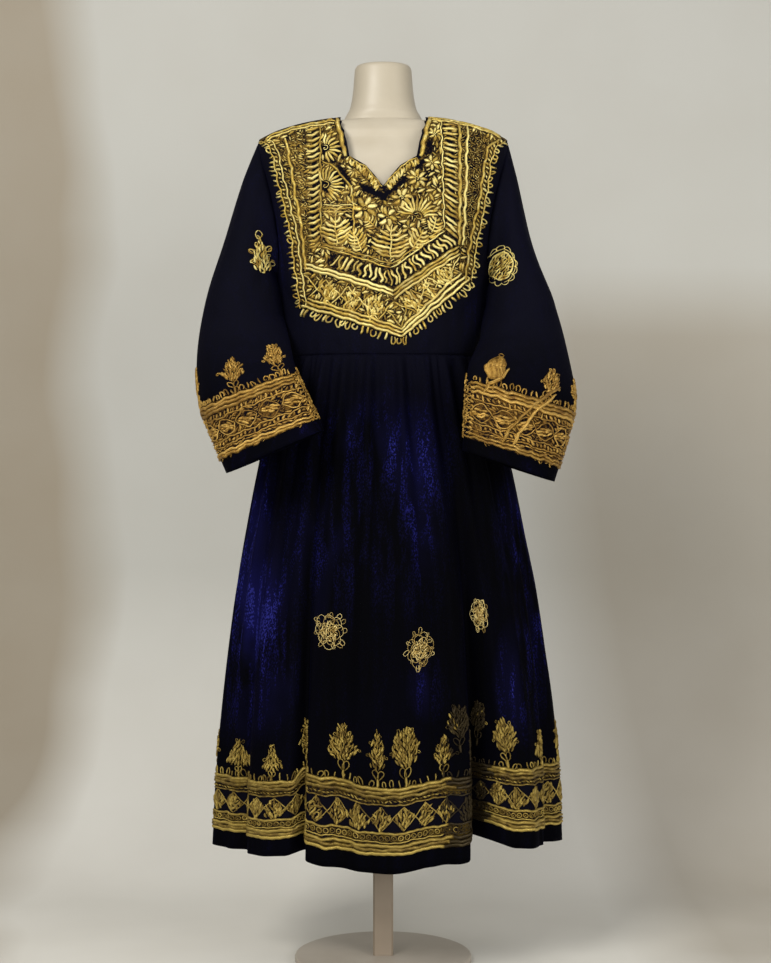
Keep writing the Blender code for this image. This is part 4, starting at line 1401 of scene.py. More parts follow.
def grained(outline, focus, length, width, chance, spread, swell=0.0):
    """Grains packed inside an outline, each pointing away from a focus."""
    outline = np.asarray(outline, float)
    low, high = outline.min(axis=0), outline.max(axis=0)
    made = []
    for row, y in enumerate(np.arange(low[1] + width / 2, high[1], width * 0.92)):
        for x in np.arange(low[0] + (row % 2) * length * 0.32, high[0], length * 0.64):
            spot = np.array([x, y]) + chance.uniform(-0.14, 0.14, 2) * length
            if not inside(spot[None, :], outline)[0]:
                continue
            out = spot - np.asarray(focus, float)
            angle = math.degrees(math.atan2(out[1], out[0])) + chance.normal(0, spread)
            size = chance.uniform(0.8, 1.2) * (1 + swell * abs(x) / (high[0] - low[0]))
            made.append(grain(spot, angle, length * size, width * chance.uniform(0.85, 1.2)))
    return made


def scallops(radius, lobes, thread, chance, tall, reach):
    """A wandering closed line of small loops round a middle."""
    turn = np.linspace(0, 2 * math.pi, lobes * 9 + 1)[:-1]
    start = chance.uniform(0, 2 * math.pi)
    size = radius * (1 - reach) * (1 + 0.06 * np.sin(2 * turn + start))
    small = radius * reach * (1 + 0.35 * np.sin(3 * turn + 2 * start))
    x = size * np.cos(turn) + small * np.cos(turn * (lobes + 1) + start)
    y = size * np.sin(turn) + small * np.sin(turn * (lobes + 1) + start)
    return Stroke(np.stack([x, y * tall], axis=1), thread, True, False)


def wild_rosette(radius, chance, tall):
    """A loose hand-made flower: a packed middle of grains and tangled loops round it."""
    made = grained(arc(radius * 0.50, 0, 345, 20, flat=tall), (0, 0), 0.0075, 0.0026, chance, 60)
    made.append(scallops(radius * 0.66, 6, THREAD * 0.65, chance, tall, 0.24))
    made.append(scallops(radius * 0.84, 8, THREAD * 0.60, chance, tall, 0.18))
    angle = chance.uniform(0, 30)
    while angle < 360:
        root = arc(radius * chance.uniform(0.52, 0.74), angle, angle, 1, flat=tall)[0]
        long = radius * chance.uniform(0.22, 0.44)
        lean = chance.uniform(-50, 50)
        made.append(loop(root, angle + lean, long, long * chance.uniform(0.5, 0.9), THREAD * 0.6))
        angle += chance.uniform(18, 42)
    return made


def fan(radius, petals, start, end):
    """Petals that spread from a small coil."""
    made = [coil(radius * 0.22, 1.3, THREAD * 0.8)]
    for k in range(petals):
        angle = start + (end - start) * k / (petals - 1)
        root = arc(radius * 0.28, angle, angle, 1)[0]
        width = math.radians(abs(end - start)) / (petals - 1) * radius * 0.66 * 0.84
        made.append(petal(root, angle, radius * 0.72, width))
    return made


def fern(length, width, rows):
    """A leaf of long curved stitches on both sides of a vein."""
    made = [Stroke(np.array([[0, 0], [0, length]]), CORD, False, False)]
    for k in range(rows):
        share = (k + 0.5) / rows
        reach = width / 2 * math.sin(math.pi * min(share * 0.8 + 0.2, 1.0)) + CORD
        rise = length / rows * 1.1
        y = length * share * 0.86
        for sign in (-1, 1):
            line = np.array([[0, y], [sign * reach * 0.55, y + rise * 0.35], [sign * reach, y + rise * 1.2]])
            made.append(Stroke(line, length / rows * 0.70, False, True))
    return made


def diamond(width, height):
    return np.array([[-width / 2, 0], [0, height / 2], [width / 2, 0], [0, -height / 2]])


def trunk(height, chance):
    """A thick foot and two open loops that carry a leaf."""
    foot = height * 0.45
    made = [Stroke(np.array([[0, -0.002], [0, foot]]), CORD * 1.5, False, False)]
    for angle in (62, 118):
        lean = chance.uniform(-12, 12)
        made.append(loop((0, foot * 0.85), angle + lean, height * 0.62, height * 0.40, THREAD * 0.9))
    return made


def crown(outline, foot, chance, loops=4, focus=None):
    """A ragged leaf of grains that spread from a focus, with small loops on its edge."""
    made = grained(outline, focus or (foot[0], foot[1] - 0.012), 0.0088, 0.0040, chance, 16, 0.3)
    middle = outline.mean(axis=0)
    top = outline[:, 1] > foot[1] + 0.25 * (outline[:, 1].max() - foot[1])
    spots = outline[top]
    for k in np.linspace(0, len(spots) - 1, loops).astype(int):
        out = spots[k] - middle
        angle = math.degrees(math.atan2(out[1], out[0])) + chance.uniform(-25, 25)
        root = spots[k] - out * 0.06
        long = chance.uniform(0.0055, 0.0080)
        made.append(loop(root, angle, long, chance.uniform(0.0045, 0.0060), THREAD * 0.75))
    return made


def tree(shape, width, height, chance, stem_share, focus=None):
    """A leaf shape, given as pairs of shares of width and height, on a looped trunk."""
    stem = height * stem_share
    outline = np.array(shape, float) * (width, height - stem) + (0, stem)
    return trunk(stem, chance) + crown(outline, (0, stem), chance, focus=focus)


# Leaf shapes as shares of their width and height, from the foot round
OVAL = [
    (math.sin(a) * 0.5 * (1 - 0.25 * (1 - math.cos(a)) / 2), (1 - math.cos(a)) / 2)
    for a in np.linspace(0, 2 * math.pi, 21)[:-1]
]
LOBED = [
    (0, 0), (0.28, 0.03), (0.50, 0.22), (0.36, 0.36), (0.47, 0.58), (0.25, 0.62), (0.16, 0.95),
    (-0.02, 1.0), (-0.14, 0.74), (-0.30, 0.74), (-0.27, 0.50), (-0.52, 0.40), (-0.30, 0.14),
]
TRIANGLE = [
    (0, 0.02), (0.26, 0.05), (0.52, 0.12), (0.30, 0.42), (0.20, 0.55), (0.10, 0.84), (0.02, 1.0),
    (-0.08, 0.80), (-0.22, 0.56), (-0.30, 0.36), (-0.55, 0.16), (-0.26, 0.04),
]
SPRIG = [
    (0, 0), (0.50, 0.08), (0.30, 0.22), (0.44, 0.34), (0.26, 0.48), (0.36, 0.62), (0.18, 0.80),
    (0.02, 1.0), (-0.18, 0.80), (-0.34, 0.60), (-0.24, 0.48), (-0.46, 0.32), (-0.30, 0.20), (-0.40, 0.08),
]


def ringed_leaf(width, height):
    """A smooth satin leaf on two stems, with a small ring at its tip."""
    outline = np.array(OVAL) * (width, height * 0.66) + (0, height * 0.24)
    made = filled(outline, 74, 0.0017, 0.0030)
    made.append(Stroke(outline, THREAD * 0.9, True, False))
    made.append(ring(0.0042, 0.0019, 1.0, (0.0, height * 0.90 + 0.0044)))
    for side in (-1, 1):
        stem = np.array([[side * 0.0065, height * 0.27], [side * 0.004, height * 0.12], [side * 0.002, 0.0]])
        made.append(Stroke(stem, CORD, False, False))
    return made


def grown(kind, width, height, chance):
    """A leaf of one kind on its trunk."""
    if kind == "ringed":
        return ringed_leaf(width, height)
    if kind == "fir":
        return tree(TRIANGLE, width, height, chance, 0.28, (0, height * 1.05))
    shape, stem_share = {"leaf": (OVAL, 0.34), "maple": (LOBED, 0.34), "slim": (SPRIG, 0.30)}[kind]
    return tree(shape, width, height, chance, stem_share)


# Bands of stitches between two lines


class Band:
    """A strip between two lines of the design: u runs along it in metres, v across it from 0 to 1."""

    def __init__(self, lower, upper):
        self.lower = split_evenly(np.asarray(lower, float), BAND_PARTS)
        self.upper = split_evenly(np.asarray(upper, float), BAND_PARTS)
        self.run = run_along((self.lower + self.upper) / 2)
        self.length = self.run[-1]
        self.width = np.linalg.norm(self.upper - self.lower, axis=1)

    def at(self, u, v):
        u, v = np.broadcast_arrays(np.asarray(u, float), np.asarray(v, float))
        low, high = read_at(self.lower, self.run, u), read_at(self.upper, self.run, u)
        return low * (1 - v[..., None]) + high * v[..., None]

    def wide(self, u):
        return np.interp(u, self.run, self.width)

    def spots(self, pitch):
        count = max(int(round(self.length / pitch)), 1)
        gap = self.length / count
        return gap / 2 + gap * np.arange(count)

    def outline(self):
        return np.concatenate([self.lower[::6], self.upper[::-6]])

    def heading(self, u):
        here, ahead = self.at(u - READ_STEP, 0.5), self.at(u + READ_STEP, 0.5)
        return math.atan2(ahead[1] - here[1], ahead[0] - here[0])


def rule(work, band, v, width, wobble=0.0):
    """A cord along the band."""
    u = np.linspace(0, band.length, max(int(band.length / PATH_STEP), 2))
    phase = work.chance.uniform(0, 6)
    shake = wobble * np.sin(u / 0.011 + phase) + wobble * 0.6 * np.sin(u / 0.0047 + phase)
    work.cord(band.at(u, v + shake / band.wide(u)), width)


def ladder(work, band, v_low, v_high, pitch, width, slant, bend=0.15):
    """Bent rungs across the band."""
    for u in band.spots(pitch):
        shift = work.chance.uniform(-0.12, 0.12) * pitch
        bow = (bend + work.chance.uniform(-0.15, 0.15)) * pitch
        ends = np.array([u - slant / 2 + shift, u + bow, u + slant / 2 + shift])
        places = band.at(ends, np.array([v_low, (v_low + v_high) / 2, v_high]))
        work.cord(places, width, pointed=True, step=LONG_STEP)


def curls(work, band, v_low, v_high, pitch, width, start):
    """Uneven S-shaped stitches side by side across the band, from a share of its length on."""
    share = np.linspace(0, 1, 9)
    for u in band.spots(pitch):
        if u < start * band.length:
            continue
        u = u + work.chance.uniform(-0.14, 0.14) * pitch
        reach = work.chance.uniform(0.10, 0.40) * pitch
        swing = reach * np.sin(share * 2 * math.pi + work.chance.uniform(-0.7, 0.7))
        lean = work.chance.uniform(-0.30, 0.30) * pitch * (share - 0.5) * 2
        low = v_low + work.chance.uniform(-0.02, 0.08)
        high = v_high - work.chance.uniform(-0.02, 0.08)
        thick = width * work.chance.uniform(0.72, 1.08)
        work.cord(band.at(u + swing + lean, low + (high - low) * share), thick, step=CURL_STEP)


def lenses(work, band, v_low, v_high, pitch):
    """Pointed ovals filled with grains, each between two bare crescents."""
    middle, reach = (v_low + v_high) / 2, (v_high - v_low) / 2
    share = np.linspace(0, 1, 15)
    for u in band.spots(pitch):
        along = u + (share - 0.5) * pitch * 0.96
        wide = band.wide(u) * reach
        for side in (-1, 1):
            bow = side * np.sin(share * math.pi)
            work.cord(band.at(along, middle + reach * 0.94 * bow), THREAD * 1.2)
            work.keep_bare(band.at(along[2:-2], middle + reach * 0.66 * bow[2:-2]), 0.0036)
        turn = np.linspace(0, 2 * math.pi, 19)[:-1]
        core = np.stack([pitch * 0.36 * np.cos(turn), wide * 0.52 * np.sin(turn)], axis=1)
        strokes = grained(core, (-1.0, 0.25), 0.0115, 0.0052, work.chance, 12)
        work.motif(strokes, band.at(u, middle), band.heading(u))


def picots(work, band, v, reach, pitch, width, thread, bars):
    """Loops that stand off a line towards higher v, some of them single bars."""
    for u in band.spots(pitch):
        u = u + work.chance.uniform(-0.15, 0.15) * pitch
        wide = band.wide(u)
        lean = work.chance.uniform(-0.35, 0.35) * pitch
        long = reach * work.chance.uniform(0.72, 1.20)
        if work.chance.random() < bars:
            ends = band.at(np.array([u, u + lean]), np.array([v, v + long / wide]))
            work.cord(ends, thread * 1.35, step=LONG_STEP)
            continue
        turn = np.linspace(0.10, 0.90, 9) * 2 * math.pi
        out = long / 2 * (1 - np.cos(turn))
        side = width / 2 * work.chance.uniform(0.75, 1.25) * np.sin(turn)
        work.cord(band.at(u + side + lean * out / long, v + out / wide), thread, step=CURL_STEP)


def row_of(work, band, v, pitch, motif):
    """A motif repeated along the band, upright across it."""
    for u in band.spots(pitch):
        work.motif(motif, band.at(u, v), band.heading(u))


def crosses(work, band, v_low, v_high, pitch, width):
    """Crossed lines whose lozenges hold grained shapes in turn, with bare triangles between them."""
    count = max(int(round(band.length / pitch)), 1)
    gap = band.length / count
    for k in range(count):
        a, b = k * gap, (k + 1) * gap
        work.cord(band.at(np.array([a, b]), np.array([v_low, v_high])), width, step=LONG_STEP)
        work.cord(band.at(np.array([a, b]), np.array([v_high, v_low])), width, step=LONG_STEP)
        if k == count - 1:
            continue
        wide = band.wide(b) * (v_high - v_low)
        size = work.chance.uniform(0.86, 1.06)
        if k % 5 == 1:
            shape = np.array(OVAL) * (gap * 0.70, wide * 0.94) - (0, wide * 0.47)
            focus, spread = (0.02, -wide), 30
        elif k % 5 == 4:
            shape = np.array(LOBED) * (gap, wide * 0.92) - (0, wide * 0.47)
            focus, spread = (0, -wide), 12
        else:
            shape = diamond(gap * 0.96 * size, wide * 1.04 * size)
            focus, spread = (0, -0.05), 18
        grains = grained(shape, focus, 0.0095, 0.0044, work.chance, spread)
        work.motif(grains, band.at(b, (v_low + v_high) / 2), band.heading(b))


def beads(work, band, v, pitch, length, width, slant=0.0):
    """A row of short grains."""
    for u in band.spots(pitch):
        angle = math.degrees(band.heading(u)) + slant + work.chance.normal(0, 14)
        long = length * work.chance.uniform(0.75, 1.2)
        work.motif([grain((0, 0), angle, long, width * work.chance.uniform(0.85, 1.15))], band.at(u, v))


def braid(work, band, v_low, v_high, lines, wobble=0.0006):
    """Thick cords side by side that fill a strip."""
    wide = band.wide(band.length / 2) * (v_high - v_low)
    for k in range(lines):
        rule(work, band, v_low + (v_high - v_low) * (k + 0.5) / lines, wide / lines * 1.08, wobble)


# Velvet panels

# Angles looked at round the skirt, and the share of plain turning in its columns
HEM_STOPS = 4000
PLAIN_TURNING = 0.12
MEASURE_STOPS = 6001


def make_velvet(node, points, normal, closed=False):
    """A velvet piece in place of its solid."""
    made = shell(node + "_velvet", points, normal, closed, CLOTH, VELVET)
    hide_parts(node)


def body_normals(points):
    """Normals of a panel that goes round the body."""
    return grid_normals(points, outward=points * (1, 1, 0))


def make_bodice(node, coarse, surface, rows):
    """A bodice panel, refined from its coarse grid; gives its points and normals."""
    height = coarse[..., 2]
    fine = refined(np.stack([turn_at(coarse[..., 0], height), height], axis=-1), rows, PANEL_COLUMNS)
    points = surface(fine[..., 0], fine[..., 1])
    normal = body_normals(points)
    make_velvet(node, points, normal)
    return points, normal


front_points = front_grid()
back_points = back_grid()
chest_points, chest_normals = make_bodice("bodice_front", front_points, chest_turned, FRONT_ROWS)
make_bodice("bodice_back", back_points, upper_back, BACK_ROWS)

# Rows of the skirt, closer together under the waist
share_down = np.linspace(0, 1, SKIRT_ROWS)
below_waist = SKIRT_LENGTH * (0.55 * share_down + 0.45 * share_down**1.6)


def even_angles(first, last, count):
    """Angles whose steps along the hem are even, with a share given to plain turning."""
    fine = np.linspace(first, last, HEM_STOPS)
    hem = skirt(fine, SKIRT_LENGTH)
    steps = np.linalg.norm(np.diff(hem, axis=0), axis=1) + np.radians(np.diff(fine)) * PLAIN_TURNING
    run = np.concatenate([[0], np.cumsum(steps)])
    return np.interp(np.linspace(0, run[-1], count + 1), run, fine)


def make_skirt(node, first, last, count):
    """Half of the skirt between two angles."""
    angles = even_angles(first, last, count)
    points = skirt(angles[None, :], below_waist[:, None])
    hem = run_along(points[-1])[-1]
    make_velvet(node, points, body_normals(points))


make_skirt("skirt_front", 0, 180, SKIRT_FRONT_COLUMNS)
make_skirt("skirt_back", 180, 360, SKIRT_BACK_COLUMNS)


class SleeveCloth:
    """A sleeve's velvet, and its mouth laid flat: s runs round it from the outer edge over the front,
    t up from the mouth."""

    def __init__(self, side, sections, sign, creases):
        loop = armhole_loop(front_points, back_points, sign)
        self.points, self.distances = sleeve_grid(loop, sections, sign, creases)
        centre = self.points.mean(axis=1, keepdims=True)
        self.normal = grid_normals(self.points, True, self.points - centre)
        self.closed_points = np.concatenate([self.points, self.points[:, :1]], axis=1)
        self.closed_normals = np.concatenate([self.normal, self.normal[:, :1]], axis=1)
        band_row = int(np.searchsorted(self.distances, self.distances[-1] - CUFF_MARGIN - CUFF_BAND / 2))
        self.run = run_along(self.closed_points[band_row])
        self.girth = self.run[-1]
        self.length = self.distances[-1]
        make_velvet(f"sleeve_{side}", self.points, self.normal, closed=True)

    def place(self, s, t):
        column_at = np.interp(np.mod(s, self.girth), self.run, np.arange(len(self.run)))
        row = np.interp(self.length - t, self.distances, np.arange(len(self.distances)))
        points = looked_up(self.closed_points, row, column_at)
        return points, unit(looked_up(self.closed_normals, row, column_at))


sleeve_left = SleeveCloth("left", SLEEVE_LEFT, 1, SLEEVE_LEFT_CREASES)
sleeve_right = SleeveCloth("right", SLEEVE_RIGHT, -1, SLEEVE_RIGHT_CREASES)


# Where the embroidery lies

# Steps in radians and degrees at which the directions round the body are read
READ_TURN = 0.004
READ_ANGLE = 0.1


def on_chest(across, height):
    """Points and normals of the bodice's front, as seen from in front."""
    turn = turn_at(across, height)
    point = chest_turned(turn, height)
    round_way = chest_turned(turn + READ_TURN, height) - point
    up_way = chest_turned(turn, height + READ_STEP) - point
    return point, -unit(np.cross(round_way, up_way))


# Distances round the hem are measured along the middle of its band
HEM_MEASURE = HEM_MARGIN + HEM_BAND / 2
measure_angles = np.linspace(0, 360, MEASURE_STOPS)
hem_run = run_along(skirt(measure_angles, SKIRT_LENGTH - HEM_MEASURE))
HEM_GIRTH = hem_run[-1]


def on_skirt(s, t):
    """s runs round the hem band from the wearer's left side over the front, t up from the hem."""
    angle = np.interp(np.mod(s, HEM_GIRTH), hem_run, measure_angles)
    below = SKIRT_LENGTH - t
    point = skirt(angle, below)
    round_way = skirt(angle + READ_ANGLE, below) - point
    down_way = skirt(angle, below + READ_STEP) - point
    return point, unit(np.cross(round_way, down_way))


# Bib

# How far a stitched ground's face lies above the velvet, and its underside
GROUND_LIFT = 0.0005
GROUND_GAP = 0.0001


def thin_skin(name, node, points, normal, closed, finish, cover):
    """A stitched ground just above the velvet, under the gold. cover is 0 where it is left bare."""
    raised = points + normal * GROUND_LIFT
    made = shell(name, raised, normal, closed, GROUND_LIFT - GROUND_GAP, finish, cover)
    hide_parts(node)


# How far the bib's side edge stops below the shoulder tip, its parts, and the step of its other lines
BELOW_TIP = 0.004
SIDE_PARTS = 59
LINE_STEP = 0.002


def bib_side(sign, inset, low=0.0, high=1.0):
    """The bib's side edge moved in, from its lower corner (0) up to the shoulder tip (1)."""
    rows = BIB_SIDE_LEFT if sign > 0 else BIB_SIDE_RIGHT
    heights = np.linspace(rows[0].height, rows[-1].height - BELOW_TIP, SIDE_PARTS + 1)
    heights = heights[int(low * SIDE_PARTS) : int(high * SIDE_PARTS) + 1]
    across = np.minimum(column(rows, "across", "height")(heights), half_width(heights)) - inset
    return np.stack([sign * across, heights], axis=1)


def bib_bottom(sign, inset):
    """The bib's lower edge moved in, from the corner to the point."""
    corner = (BIB_SIDE_LEFT if sign > 0 else BIB_SIDE_RIGHT)[0]
    start = np.array([sign * corner.across, corner.height])
    end = np.array([BIB_POINT.across, BIB_POINT.height])
    way = unit(end - start)
    normal = np.array([-way[1], way[0]]) * (1 if sign < 0 else -1)
    first = start + normal * inset - np.array([sign * inset * 0.6, 0])
    return np.array([first, end + np.array([0, inset * 1.12])])


def neck_line(sign, outset, first=0, last=None):
    """The neckline moved out over the cloth, from the shoulder to the notch."""
    rows = NECKLINE[first:last]
    line = resampled([(row.across, row.height) for row in rows], LINE_STEP)
    way = unit(np.gradient(line, axis=0))
    out = np.stack([-way[:, 1], way[:, 0]], axis=1)
    moved = line + out * outset
    return np.stack([sign * np.maximum(moved[:, 0], 0.0), moved[:, 1]], axis=1)


# The bib's lines by across and height: two chevrons, and the posts on both sides from the top down
INNER_CHEVRON, SOLID_CHEVRON = table(
    "left middle right",
    ((-0.101, 1.200), (0.014, 1.163), (0.100, 1.226)),
    ((-0.129, 1.168), (0.017, 1.121), (0.124, 1.197)),
)
POST_LEFT_OUTER = np.array([(-0.136, 1.398), (-0.132, 1.290), (-0.128, 1.172)])
POST_LEFT_INNER = np.array([(-0.104, 1.405), (-0.102, 1.300), (-0.1005, 1.203)])
POST_RIGHT_INNER = np.array([(0.096, 1.413), (0.098, 1.300), (0.099, 1.226)])
POST_RIGHT_OUTER = np.array([(0.127, 1.408), (0.126, 1.300), (0.124, 1.200)])
RUNGS_LEFT_OUTER = [*POST_LEFT_OUTER[:2], (-0.1285, 1.190)]
RUNGS_LEFT_INNER = [*POST_LEFT_INNER[:2], (-0.101, 1.196)]
ARCH = [(-0.0985, 1.336), (-0.082, 1.328), (-0.066, 1.311), (-0.053, 1.292), (-0.049, 1.273), (-0.046, 1.188)]
# Width of the picots' thread, where the curls start and how far their ground is stitched, and the
# brightest tone of the filled fields
PICOT_THREAD = 0.0031
CURLS_START = 0.22
CURLS_COVER = 0.32
FIELD_TOP = 6

BIB_FLOWERS = table(
    "across height size petals",
    (-0.029, 1.254, 0.0205, 7),
    (0.007, 1.240, 0.0160, 6),
    (0.031, 1.272, 0.0165, 7),
    (0.056, 1.306, 0.0165, 8),
    (0.081, 1.334, 0.0135, 7),
    (0.086, 1.386, 0.0120, 8),
    (0.042, 1.222, 0.0120, 6),
)
# Fans of thin rays: root, reach, count and the turn in degrees that they open over
BIB_FANS = table(
    "across height reach rays first last",
    (-0.0960, 1.3600, 0.0270, 9, -75, 88),
    (-0.0945, 1.2950, 0.0310, 12, -55, 112),
    (0.0560, 1.2420, 0.0340, 12, 5, 165),
    (-0.0480, 1.3200, 0.0130, 6, 150, 330),
)
BIB_LEAVES = table(
    "across height angle length width rows",
    (-0.074, 1.194, 5, 0.048, 0.046, 6),
    (0.012, 1.171, -2, 0.056, 0.058, 7),
    (-0.034, 1.184, 22, 0.040, 0.024, 6),
    (0.048, 1.189, -30, 0.036, 0.026, 5),
    (0.080, 1.216, -15, 0.026, 0.020, 4),
    (-0.010, 1.222, 50, 0.022, 0.016, 4),
)
# Lines of the bib left as bare velvet, and how wide the edge is over which the stitches stop there
BARE_FADE = 0.009
BareLine = namedtuple("BareLine", "points width")
BIB_BARE = (
    BareLine([(-0.092, 1.341), (-0.080, 1.336)], 0.010),
    BareLine([(-0.074, 1.329), (-0.062, 1.314), (-0.056, 1.300)], 0.009),
    BareLine([(-0.086, 1.300), (-0.078, 1.302)], 0.038),
    BareLine([(-0.086, 1.359), (-0.082, 1.359)], 0.032),
    BareLine([(-0.030, 1.290), (-0.012, 1.281), (0.004, 1.274)], 0.014),
    BareLine([(0.004, 1.276), (0.022, 1.293), (0.036, 1.305)], 0.010),
    BareLine([(0.058, 1.326), (0.070, 1.341)], 0.010),
    BareLine([(0.076, 1.352), (0.078, 1.372)], 0.009),
    BareLine([(-0.170, 1.407), (-0.150, 1.412), (-0.110, 1.421), (-0.080, 1.425)], 0.014),
    BareLine([(-0.1125, 1.385), (-0.1125, 1.215)], 0.013),
    BareLine([(0.1110, 1.385), (0.1115, 1.235)], 0.013),
)


def chevron(line, drop=0.0):
    """A chevron's two arms, moved down."""
    return [np.array([line.left, line.middle]) - (0, drop), np.array([line.middle, line.right]) - (0, drop)]


def curl_lines():
    """The middles of the row of curls, which stays open."""
    made = []
    arms = zip(chevron(SOLID_CHEVRON, -0.003), chevron(INNER_CHEVRON, 0.0075), (CURLS_START, 0.0))
    for low, high, start in arms:
        band = Band(low, high)
        first = start * 1.3 * band.length
        made.append(BareLine(band.at(np.linspace(first, band.length, 30), 0.5), 0.028))
    return made


def bib_cover_share(x, z):
    """1 where the bib's ground is stitched, 0 on its bare lines."""
    share = np.ones(x.shape)
    thinned = [(line, 0.0) for line in BIB_BARE] + [(line, CURLS_COVER) for line in curl_lines()]
    for line, least in thinned:
        spots = resampled(line.points, LINE_STEP)
        away = np.hypot(x[..., None] - spots[:, 0], z[..., None] - spots[:, 1]).min(axis=-1)
        share = np.minimum(share, np.clip((away - line.width / 2) / BARE_FADE + 0.5, least, 1))
    return share


bib_rows = slice(ROWS_BELOW * FRONT_ROWS, -1 - FRONT_ROWS)
bib_columns = slice(BIB_COLUMN * PANEL_COLUMNS, -BIB_COLUMN * PANEL_COLUMNS)
bib_points = chest_points[bib_rows, bib_columns]
thin_skin("bib_ground", "bib", bib_points, chest_normals[bib_rows, bib_columns], False, BIB_GROUND,
          bib_cover_share(bib_points[..., 0], bib_points[..., 2]))


def bib_edges(work):
    """Edge rules, the picots beyond them and the lines under the shoulder seams."""
    for sign in (-1, 1):
        side = Band(bib_side(sign, 0.0), bib_side(sign, -0.012))
        within = Band(bib_side(sign, 0.0010), bib_side(sign, 0.0140))
        rule(work, side, 0.0, CORD, 0.0006)
        beads(work, within, 0.32, 0.0076, 0.0072, 0.0040, 50)
        rule(work, within, 0.76, CORD if sign < 0 else BRAID, 0.0004)
        bars, pitch = (0.85, 0.0088) if sign < 0 else (0.45, 0.0112)
        picots(work, side, 0.0, 0.0088, pitch, 0.0066, PICOT_THREAD, bars)
        for inset, width in ((0.0030, BRAID * 1.1), (0.0088, BRAID * 1.1), (0.0142, BRAID)):
            work.cord(bib_bottom(sign, inset), width)
        bottom = Band(bib_bottom(sign, 0.0), bib_bottom(sign, -0.014))
        picots(work, bottom, 0.0, 0.0125, 0.0104, 0.0080, PICOT_THREAD * 1.12, 0.38)
        across = np.linspace(0.080, 0.196, 40)
        for drop in (0.0115, 0.0165) if sign < 0 else (0.0040, 0.0095):
            work.cord(np.stack([sign * across, shoulder_height(across) - drop], axis=1), CORD * 1.2)


def bib_neck(work):
    """The smooth roll beside the neckline and the slanting stitches of the notch."""
    for sign in (-1, 1):
        work.cord(neck_line(sign, 0.0075, 3, 8), 0.0082)
        notch = Band(neck_line(sign, 0.0026, 7), neck_line(sign, 0.0150, 7))
        ladder(work, notch, 0.10, 0.90, 0.0058, 0.0052, 0.007, 0.0)
        rule(work, notch, 0.0, CORD)
        for u in notch.spots(0.0088):
            outward = math.degrees(notch.heading(u)) - sign * 90
            work.motif([petal((0, 0), outward, 0.0105, 0.0056)], notch.at(u, 0.95))


def bib_sides(work):
    """Upright lines with rungs between them, and the fields outside them."""
    work.cord(POST_LEFT_INNER, CORD * 1.2)
    work.cord(POST_RIGHT_INNER, CORD)
    work.cord(POST_RIGHT_OUTER, BRAID * 1.2)
    ladder(work, Band(RUNGS_LEFT_OUTER, RUNGS_LEFT_INNER), 0.26, 0.95, 0.0096, 0.0060, -0.003, 0.4)
    ladder(work, Band(POST_RIGHT_OUTER, POST_RIGHT_INNER), 0.12, 0.90, 0.0092, 0.0058, 0.004)
    left = Band(bib_side(-1, 0.0150, 0.20, 0.97)[::-1], POST_LEFT_OUTER + (0.0060, 0))
    rule(work, left, 0.30, BRAID * 1.1, 0.0006)
    right = Band(bib_side(1, 0.0150, 0.20, 0.97)[::-1], POST_RIGHT_OUTER + (0.0050, 0))
    rule(work, right, 0.80, BRAID, 0.0008)
    work.fill_gaps(left.outline(), 0.0050, 0.0090, 0.0038, -0.5, 0.5, 0.0002, FIELD_TOP)
    work.fill_gaps(right.outline(), 0.0044, 0.0062, 0.0036, 0.9, 1.2, 0.0004, FIELD_TOP)


def bib_chevrons(work):
    """Two chevrons with curls between them, and the crossed lines above the lower edge."""
    for line in chevron(INNER_CHEVRON) + chevron(INNER_CHEVRON, 0.0062):
        work.cord(line, CORD)
    for line in chevron(SOLID_CHEVRON) + chevron(SOLID_CHEVRON, 0.0062):
        work.cord(line, BRAID * 1.1)
    work.cord(chevron(SOLID_CHEVRON, 0.0122)[1], BRAID)
    arms = zip(chevron(SOLID_CHEVRON, -0.0050), chevron(INNER_CHEVRON, 0.0098), (CURLS_START, 0.0))
    for low, high, start in arms:
        curls(work, Band(low, high), 0.04, 0.96, 0.0086, 0.0052, start)
    bottoms = (bib_bottom(-1, 0.0155), bib_bottom(1, 0.0155)[::-1])
    for low, high in zip(bottoms, chevron(SOLID_CHEVRON, 0.0160)):
        crosses(work, Band(low, high), 0.02, 0.98, 0.036, CORD)


def bib_panel(work):
    """Flowers, leaves and stems of the middle panel."""
    for spray in BIB_FANS:
        work.motif(fan(spray.reach, spray.rays, spray.first, spray.last), (spray.across, spray.height))
    for k, flower in enumerate(BIB_FLOWERS):
        work.motif(rosette(flower.size, flower.petals), (flower.across, flower.height), 0.4 * k)
    for leaf in BIB_LEAVES:
        spot = leaf.across, leaf.height
        work.motif(fern(leaf.length, leaf.width, leaf.rows), spot, math.radians(leaf.angle))
    work.cord(ARCH, CORD * 1.2)
    for height in (1.262, 1.2565, 1.251):
        work.cord(np.array([(-0.098, height), (-0.049, height - 0.002)]), THREAD)
    work.cord(np.array([(-0.097, 1.196), (-0.050, 1.187)]), THREAD)


def panel_outline():
    """The bib's inside as one outline, from the left shoulder round the lower point."""
    left = bib_side(-1, 0.016)[::-1]
    right = bib_side(1, 0.016)
    middle = [(BIB_POINT.across, BIB_POINT.height + 0.020)]
    return np.concatenate([left, middle, right, neck_line(1, 0.016), neck_line(-1, 0.016)[::-1]])


def bib_cover(work):
    """Grains between the motifs; the row of curls and the notch's foot stay open."""
    for line in list(BIB_BARE) + curl_lines():
        work.keep_bare(line.points, line.width)
    work.fill_gaps(panel_outline(), 0.0060, 0.0130, 0.0054, 0.9, 0.9, 0.0004)
    work.fill_gaps(panel_outline(), 0.0042, 0.0085, 0.0040, 0.5, 0.8, 0.0002)


